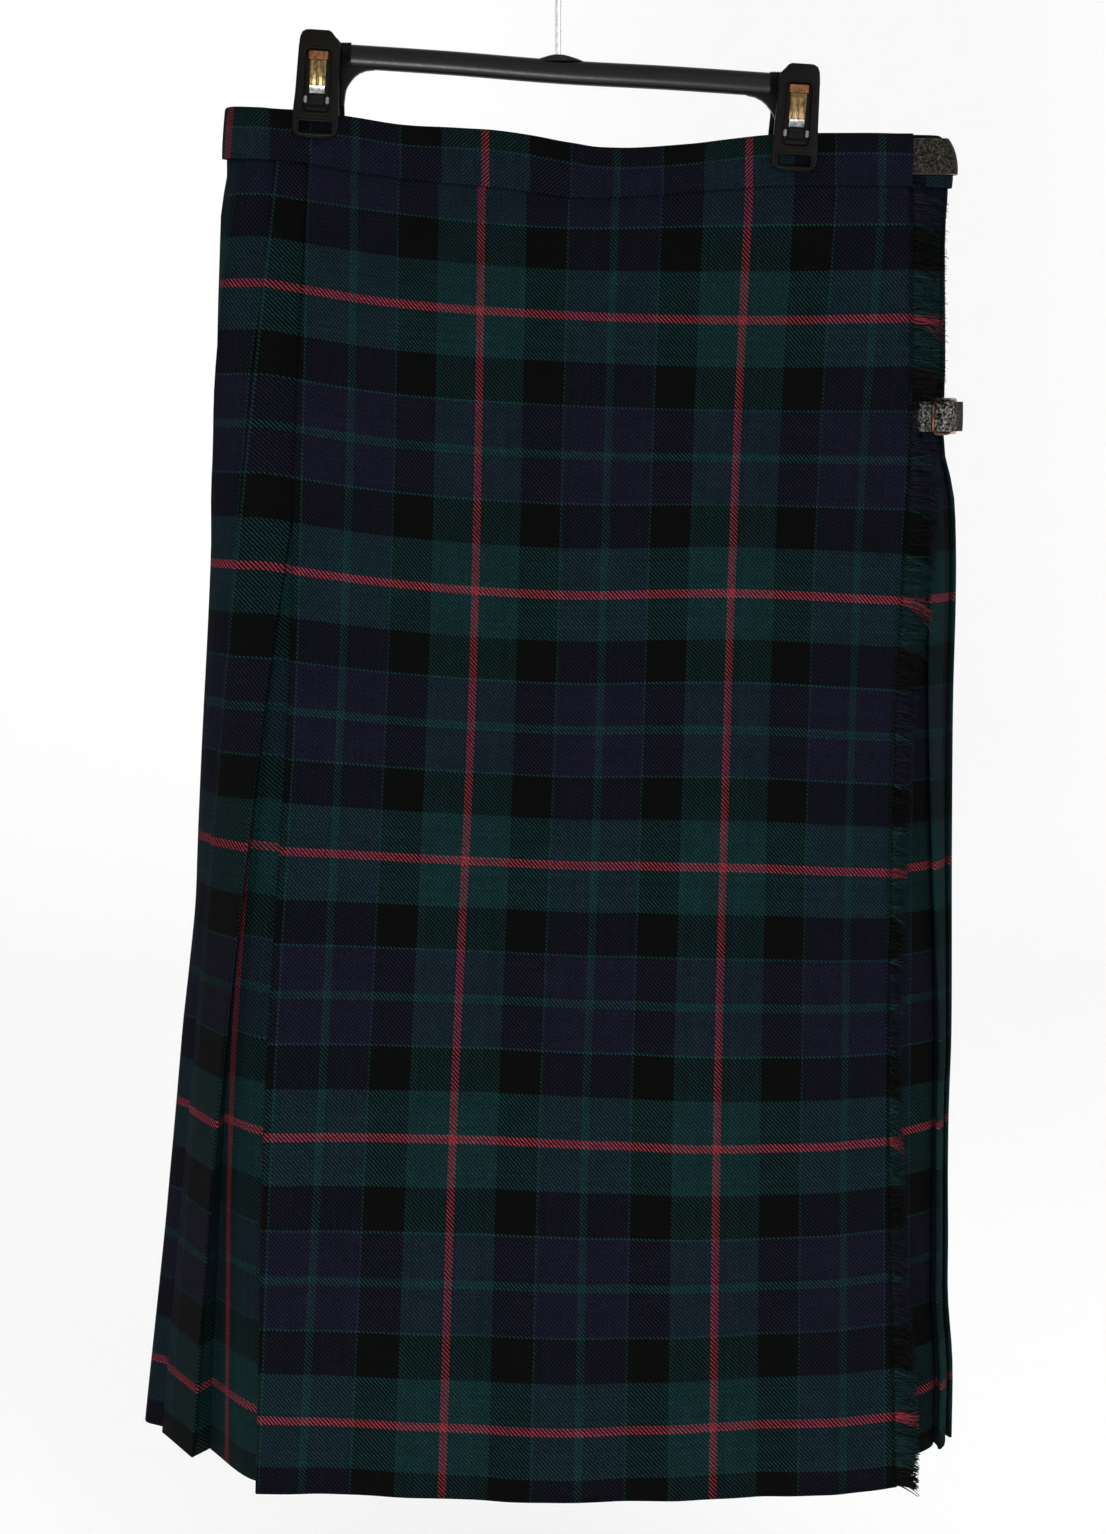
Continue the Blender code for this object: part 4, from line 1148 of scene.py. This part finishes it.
clip = {
    "inner": 11.5,            # middle of the clip to the back of its front plate
    "plate": 3.2,
    # outline of the plates from the outer top corner round, mirrored for the other clip
    "outline": ((-10.9, -9.0), (-10.4, -4.0), (-9.3, -1.4), (-7.2, -0.2), (-5.0, 0.0), (4.8, 0.0),
                (6.4, -0.7), (10.6, -5.6), (11.4, -8.0), (11.5, -24.0), (11.9, -36.0), (12.5, -44.0),
                (12.5, -50.0), (12.1, -53.2), (10.9, -55.4), (8.6, -56.5), (4.0, -57.0), (-4.0, -57.0),
                (-8.6, -56.6), (-11.0, -55.4), (-12.2, -53.0), (-12.5, -49.0), (-12.5, -44.0),
                (-11.7, -34.0), (-11.3, -22.0)),
    # round boxes are given by half width, low, high and corner radius
    "recess": (7.0, -43.4, -10.2, 3.0),
    "recessNarrow": 6.6,      # its half width but for the foot
    "slot": (8.8, -54.2, -48.4, 1.0),
    # rims, the recess's floor and the latch in it: box, hole in it, thickness, soft edge, how far
    # behind the plate's middle, and number of its material
    "details": (
        ((10.2, -55.6, -47.0, 2.0), (8.9, -54.3, -48.3, 1.0), 1.2, 0.45, -1.5, 0),
        ((8.2, -44.6, -9.0, 3.6), (7.2, -43.6, -10.0, 2.9), 0.8, 0.3, -1.6, 0),
        ((7.3, -43.8, -9.8, 2.8), None, 0.6, 0.1, 1.2, 1),
        ((4.4, -39.6, -33.6, 0.9), None, 2.4, 0.5, -0.3, 1),
        ((4.0, -36.2, -34.2, 0.6), None, 0.9, 0.3, -1.7, 1),
        ((6.2, -42.6, -40.3, 1.0), None, 1.2, 0.3, 0.4, 1),
    ),
    "lip": (11.3, -55.3, -0.9),                     # half width and height of the rolled lip, how far behind
    "ribs": (-50.0, -52.4, -54.8),
    "barrel": (10.3, -19.4, -4.6, 2.6),
    # the web under the rail's end, from that end's own underside
    "web": ((9.0, 3.5), (28.0, 1.6), (28.0, 0.0), (23.5, -0.7), (20.0, -2.2), (17.4, -4.2), (15.4, -6.6),
            (13.7, -9.2), (12.7, -11.4), (12.1, -14.0), (11.7, -17.5), (11.4, -20.5), (9.0, -20.5)),
    "webSlope": 0.066,
    "collar": (9.8, 15.6, 1.45, 26),                # from, to, between ribs, and flutes round it
    "head": (5.2, -15.4, -11.0, 0.5),
    "spring": (4.3, -14.8, 14.6),                   # half width, top and length
    "ending": (4.0, -29.3, 4.4),
    "pegs": ((-5.9, 5.9), (0.95, -38.8, -34.9, 0.9)),
}


def makePlastic(name):
    colour, rough, shine = hanger[name]
    look = Look(name, Specular_IOR_Level=shine)
    place = look.place()
    flow = look.noise(place, 60.0, 3.0)
    grain = look.noise(place, 2600.0, 2.0)
    scuff = look.noise(place, 420.0, 5.0, 0.7)
    look.give("Base Color", look.tinted((*colour, 1.0), flow * 0.5 + grain * 0.3 + 0.6))
    look.give("Roughness", rough + scuff * 0.22 - 0.08)
    look.rise(grain + scuff * 0.6, 0.00005, 0.5)
    return look.material


def outlineMesh(outline, holes, thick, bevel):
    # a flat plate lying in x and y with softened edges
    curve = bpy.data.curves.new("outline", "CURVE")
    curve.dimensions = "2D"
    curve.fill_mode = "BOTH"
    curve.extrude = (thick / 2 - bevel) * mm
    curve.bevel_depth = bevel * mm
    curve.bevel_resolution = 3
    curve.offset = -bevel * mm
    return curveMesh("outline", curve, [[(x, y, 0) for x, y in line] for line in (outline, *holes)])


def roundBox(half, low, high, radius, middle=0.0):
    # a rectangle with round corners, as points
    points = []
    for across, up, first in ((1, 1, 0), (-1, 1, 90), (-1, -1, 180), (1, -1, 270)):
        x = middle + across * (half - radius)
        y = high - radius if up > 0 else low + radius
        points += [(x + radius * cos(a), y + radius * sin(a))
                   for a in (radians(first + 15 * step) for step in range(7))]
    return points


def joined(name, parts, materials, smooth=32):
    # one object from several meshes: (mesh, its place, number of its material)
    form = bmesh.new()
    for mesh, place, number in parts:
        before = len(form.faces)
        form.from_mesh(mesh)
        form.faces.ensure_lookup_table()
        fresh = form.faces[before:]
        points = {vertex for face in fresh for vertex in face.verts}
        bmesh.ops.transform(form, matrix=place, verts=list(points))
        for face in fresh:
            face.material_index = number
            face.smooth = True
        bpy.data.meshes.remove(mesh)
    bmesh.ops.remove_doubles(form, verts=form.verts, dist=0.00001)
    return linked(name, meshFrom(form, name, *materials, sharp=smooth))


def standing(x, y, z, tilt):
    # turns a flat outline upright, facing the front, and puts it in place
    spot = Matrix.Translation(Vector((x, y, z)) * mm)
    return spot @ Matrix.Rotation(radians(tilt), 4, "Y") @ Matrix.Rotation(radians(90), 4, "X")


def lying(rows):
    return gridMesh("grid", rows), Matrix.Identity(4), 0


def makeRail(plastic):
    ends, rises = zip(*hanger["rail"])
    places = np.linspace(ends[0], ends[-1], 90)
    rows = []
    high, sharp = hanger["parting"]
    for x, rise in zip(places, spline(ends, rises, places)):
        # a fine parting line runs along the top and the bottom
        ring = []
        for angle in (radians(step * 7.5) for step in range(49)):
            seam = high * exp(-((abs(sin(angle)) - 1) / sharp) ** 2)
            y, z = (copysign(abs(part) ** hanger["square"], part) for part in (cos(angle), sin(angle)))
            ring.append((x, y * hanger["deep"], garment["railZ"] + rise + z * (hanger["tall"] + seam - 0.2)))
        rows.append(ring)
    parts = [lying(rows)]
    for row in (rows[0], rows[-1]):
        middle = (row[0][0], 0, sum(p[2] for p in row[:-1]) / (len(row) - 1))
        parts.append(lying([row, [middle] * len(row)]))
    rail = joined("hanger_rail_moulded", parts, (plastic,))
    top = garment["railZ"] + hanger["tall"]
    collar = [[(radius * cos(a), min(radius, hanger["bossDeep"]) * sin(a), top + z)
               for a in np.linspace(0, tau, 41)] for z, radius in hanger["boss"]]
    return rail, joined("hanger_boss_moulded", [lying(collar)], (plastic,))


def makeHook(chrome):
    radius, centre = hanger["hookRadius"], hanger["hookCentre"]
    angles = np.radians(np.linspace(*hanger["hookTurn"], 70))
    points = [(radius * cos(a), 0, centre + radius * sin(a)) for a in angles]
    x, z = points[-1][0], points[-1][2]
    foot = garment["railZ"] + hanger["tall"] + hanger["hookFoot"]
    for f in np.linspace(0.08, 1.0, 14):
        points.append((x * (1 - f) ** 2, 0, z - 15.0 * f * (2 - f) - 2.0 * f ** 4))
    points += [(0, 0, points[-1][2] * (1 - f) + foot * f) for f in (0.3, 0.6, 0.9, 1.0)]
    return makeTube("hanger_hook_wire", points, hanger["wire"], chrome, around=20)


def mirrored(outline, inward):
    # the outline for this clip, running the same way round for both
    points = [(x * inward, y) for x, y in outline]
    return points if inward > 0 else points[::-1]


def makeClip(side, plastics, strips):
    x, rise, tilt, inward = hanger["clips"][side]
    z = garment["railZ"] + rise
    plate = clip["plate"]
    front = -clip["inner"] - plate / 2

    def cut(outline, thick, bevel, depth, number=0, holes=()):
        return outlineMesh(outline, holes, thick, bevel), standing(x, depth, z, tilt), number

    def shaped(rows, depth, number):
        return gridMesh("grid", rows), standing(x, depth, z, tilt), number

    outline = mirrored(clip["outline"], inward)
    recess = [(px if py < -30 else copysign(min(abs(px), clip["recessNarrow"]), px), py)
              for px, py in roundBox(*clip["recess"])]
    parts = [cut(outline, plate, 0.75, front, holes=(recess, roundBox(*clip["slot"])))]
    for box, hole, thick, bevel, behind, number in clip["details"]:
        holes = (roundBox(*hole),) if hole else ()
        parts.append(cut(roundBox(*box), thick, bevel, front + behind, number, holes))
    # the rolled lip along the foot
    half, foot, behind = clip["lip"]
    lip = []
    for px in np.linspace(-half, half, 30):
        shrink = sqrt(max(0.02, 1 - (abs(px) / (half + 0.3)) ** 6))
        height = foot + 0.9 * (abs(px) / half) ** 4
        lip.append([(px, height + 1.35 * shrink * cos(a), -0.2 + 1.5 * shrink * sin(a))
                    for a in np.linspace(0, tau, 19)])
    parts.append(shaped(lip, front + behind, 0))
    plateFront = joined(f"clip_{side}_front_moulded", parts, plastics)
    # back plate, with jaw ribs on the cloth's side
    parts = [cut([(px * 1.02 + 0.7 * inward, py) for px, py in outline], plate, 0.7, -front)]
    parts += [cut(roundBox(10.5, drop - 0.45, drop + 0.45, 0.4), 0.6, 0.15, plate / 2 - front + 0.1)
              for drop in clip["ribs"]]
    plateBack = joined(f"clip_{side}_back_moulded", parts, plastics)
    # hinge: barrel, the web under the rail's end and the ribbed collar round it
    parts = [cut(roundBox(*clip["barrel"]), 2 * clip["inner"] - 0.7, 0.8, 0)]
    middle = hanger["rail"][0 if inward > 0 else -1][1] - rise
    web = [(px, middle - hanger["tall"] + py - clip["webSlope"] * inward * max(px * inward - 12, 0))
           for px, py in mirrored(clip["web"], inward)]
    upright = standing(x, 0, z, 0.0)
    parts.append((outlineMesh(web, (), 6.0, 0.6), upright, 0))
    start, end, pitch, flutes = clip["collar"]
    collar = []
    for px in np.linspace(start, end, 13):
        swell = 0.35 * cos((px - start) * tau / pitch)
        collar.append([(px * inward, middle - 0.1 + (6.85 + swell + 0.3 * cos(flutes * a)) * sin(a),
                        (5.3 + swell + 0.3 * cos(flutes * a)) * cos(a)) for a in np.linspace(0, tau, 157)])
    parts.append((gridMesh("grid", collar), upright, 1))
    hinge = joined(f"clip_{side}_hinge_moulded", parts, plastics)
    # spring: bronze head, ribbed strip, plated end, and the ends of the wire that holds it
    parts = [cut(roundBox(*clip["head"]), 0.8, 0.25, -14.0)]
    half, top, long = clip["spring"]
    strip = []
    for f in np.linspace(0, 1, 26):
        arch = 1.5 * sin(pi * (0.12 + 0.8 * f))
        ribs = [(g, 0.42 * max(0.0, cos(g * pi * 2.5)) ** 2 * sin(pi * f) ** 0.4)
                for g in np.linspace(-1, 1, 33)]
        strip.append([(half * g, top - long * f, arch + rib) for g, rib in ribs])
    parts.append(shaped(strip, -13.0, 1))
    half, top, long = clip["ending"]
    ending = [[(half * g, top - long * f, 0.9 * cos(pi * 0.9 * f) + 0.2) for g in np.linspace(-1, 1, 9)]
              for f in np.linspace(0, 1, 12)]
    parts.append(shaped(ending, -13.2, 2))
    places, box = clip["pegs"]
    parts += [cut(roundBox(*box, px), 2.0, 0.6, -14.0, 3) for px in places]
    spring = joined(f"clip_{side}_spring_strip", parts, strips)
    for piece, node in ((plateFront, "front"), (plateBack, "back"), (hinge, "hinge")):
        settle(piece, f"clip_{side}_{node}")
    settle(spring, f"clip_{side}_spring")


# ---- put together

wool = makeTartan("tartan_wool")
overPiece, overPoints, overWeft = makeOverApron(wool)
underPiece, underPoints = makeUnderApron(wool)
pleatPiece, pleatPoints = makePleats(wool)
for piece, node, points, held in ((overPiece, "over_apron", overPoints, "hung"),
                                  (underPiece, "under_apron", underPoints, "hung"),
                                  (pleatPiece, "pleated_back", pleatPoints, "folded")):
    settle(piece, node)
    flatSize(points)
    flatArea(points)
print("cloth panels made")

settle(makeFringe(overPoints, overWeft), "apron_fringe")
print("fringe made")

for node, stretch in (("band_over_apron", "over"), ("band_back", "back"), ("band_under_apron", "under")):
    piece, size = makeBand(stretch, node + "_cloth", wool)
    settle(piece, node)
print("waistband made")

leathers = [makeLeather(name) for name in ("strap_leather", "strap_leather_glint_painted", "leather_in_holes_shaded")]
cutEdgeAndHighlight = makeCutEdgeAndHighlight("leather_cut_edge_highlighted")
brass = makeMetal("antique_brass")
for name, leather in zip(("upper", "lower"), leathers):
    makeStrap(name, leather, cutEdgeAndHighlight, brass, leathers[-1])
print("straps made")

plastics = [makePlastic(name) for name in ("moulded_plastic", "moulded_plastic_dark")]
strips = [makeMetal(name) for name in ("spring_bronze", "spring_gold", "spring_plating")]
strips.append(makePlastic("peg_plastic"))
rail, boss = makeRail(makePlastic("rail_plastic"))
settle(rail, "hanger_rail")
settle(boss, "hanger_boss")
settle(makeHook(makeMetal("hook_chrome")), "hanger_hook")
for side in hanger["clips"]:
    makeClip(side, plastics, strips)
print("hanger made")


# ---- the studio

studio = {
    "eye": (-0.00275, -1.410, -0.26166),
    "tilt": 83.0,
    "lens": 59.73,
    "sensor": 36.0,
    "shiftY": -0.0437,
    # the floor's half width, how near it comes, where it starts to curve up and how widely,
    # and the top of the wall behind
    "floor": (8.0, -6.0, 2.0, 1.5, 6.0),
    "floorZ": -1.06,
    "paper": (0.95, 0.95, 0.95, 1.0),
    "world": 0.95,
    # name: place, what it points at, size and power
    "lights": {
        "key": ((-0.25, -1.7, -0.72), (0, 0, -0.4), 0.36, 25),
        "fill": ((1.2, -2.0, 0.2), (0, 0.6, -0.9), 1.4, 16),
    },
}


def makeStage():
    # floor that curves up into a wall well behind
    half, near, bend, radius, wall = studio["floor"]
    profile = [(near, 0.0), (bend, 0.0)]
    profile += [(bend + sin(a) * radius, radius - cos(a) * radius) for a in np.linspace(0.1, pi / 2, 12)]
    profile.append((bend + radius, wall))
    form = bmesh.new()
    grid = [[form.verts.new((x, y, studio["floorZ"] + z)) for y, z in profile] for x in (-half, half)]
    for i in range(len(profile) - 1):
        form.faces.new((grid[0][i], grid[1][i], grid[1][i + 1], grid[0][i + 1]))
    look = Look("studio_paper", Roughness=0.9, Base_Color=studio["paper"])
    mesh = meshFrom(form, "studio_paper", look.material)
    mesh.shade_smooth()
    linked("studio_paper", mesh)


makeStage()
scene = bpy.context.scene
scene.world = bpy.data.worlds.new("studio")
scene.world.use_nodes = True
background = scene.world.node_tree.nodes["Background"]
background.inputs["Color"].default_value = (1, 1, 1, 1)
background.inputs["Strength"].default_value = studio["world"]
scene.view_settings.view_transform = "Standard"
for name, (place, target, size, power) in studio["lights"].items():
    light = bpy.data.lights.new(name, "AREA")
    light.size = size
    light.energy = power
    lamp = linked(name, light)
    lamp.location = place
    lamp.rotation_euler = (Vector(target) - Vector(place)).to_track_quat("-Z", "Y").to_euler()

camera = bpy.data.cameras.new("camera")
camera.lens = studio["lens"]
camera.sensor_width = studio["sensor"]
camera.shift_y = studio["shiftY"]
viewer = linked("camera", camera)
viewer.location = studio["eye"]
viewer.rotation_euler = (radians(studio["tilt"]), 0, 0)
scene.camera = viewer
print("studio made")
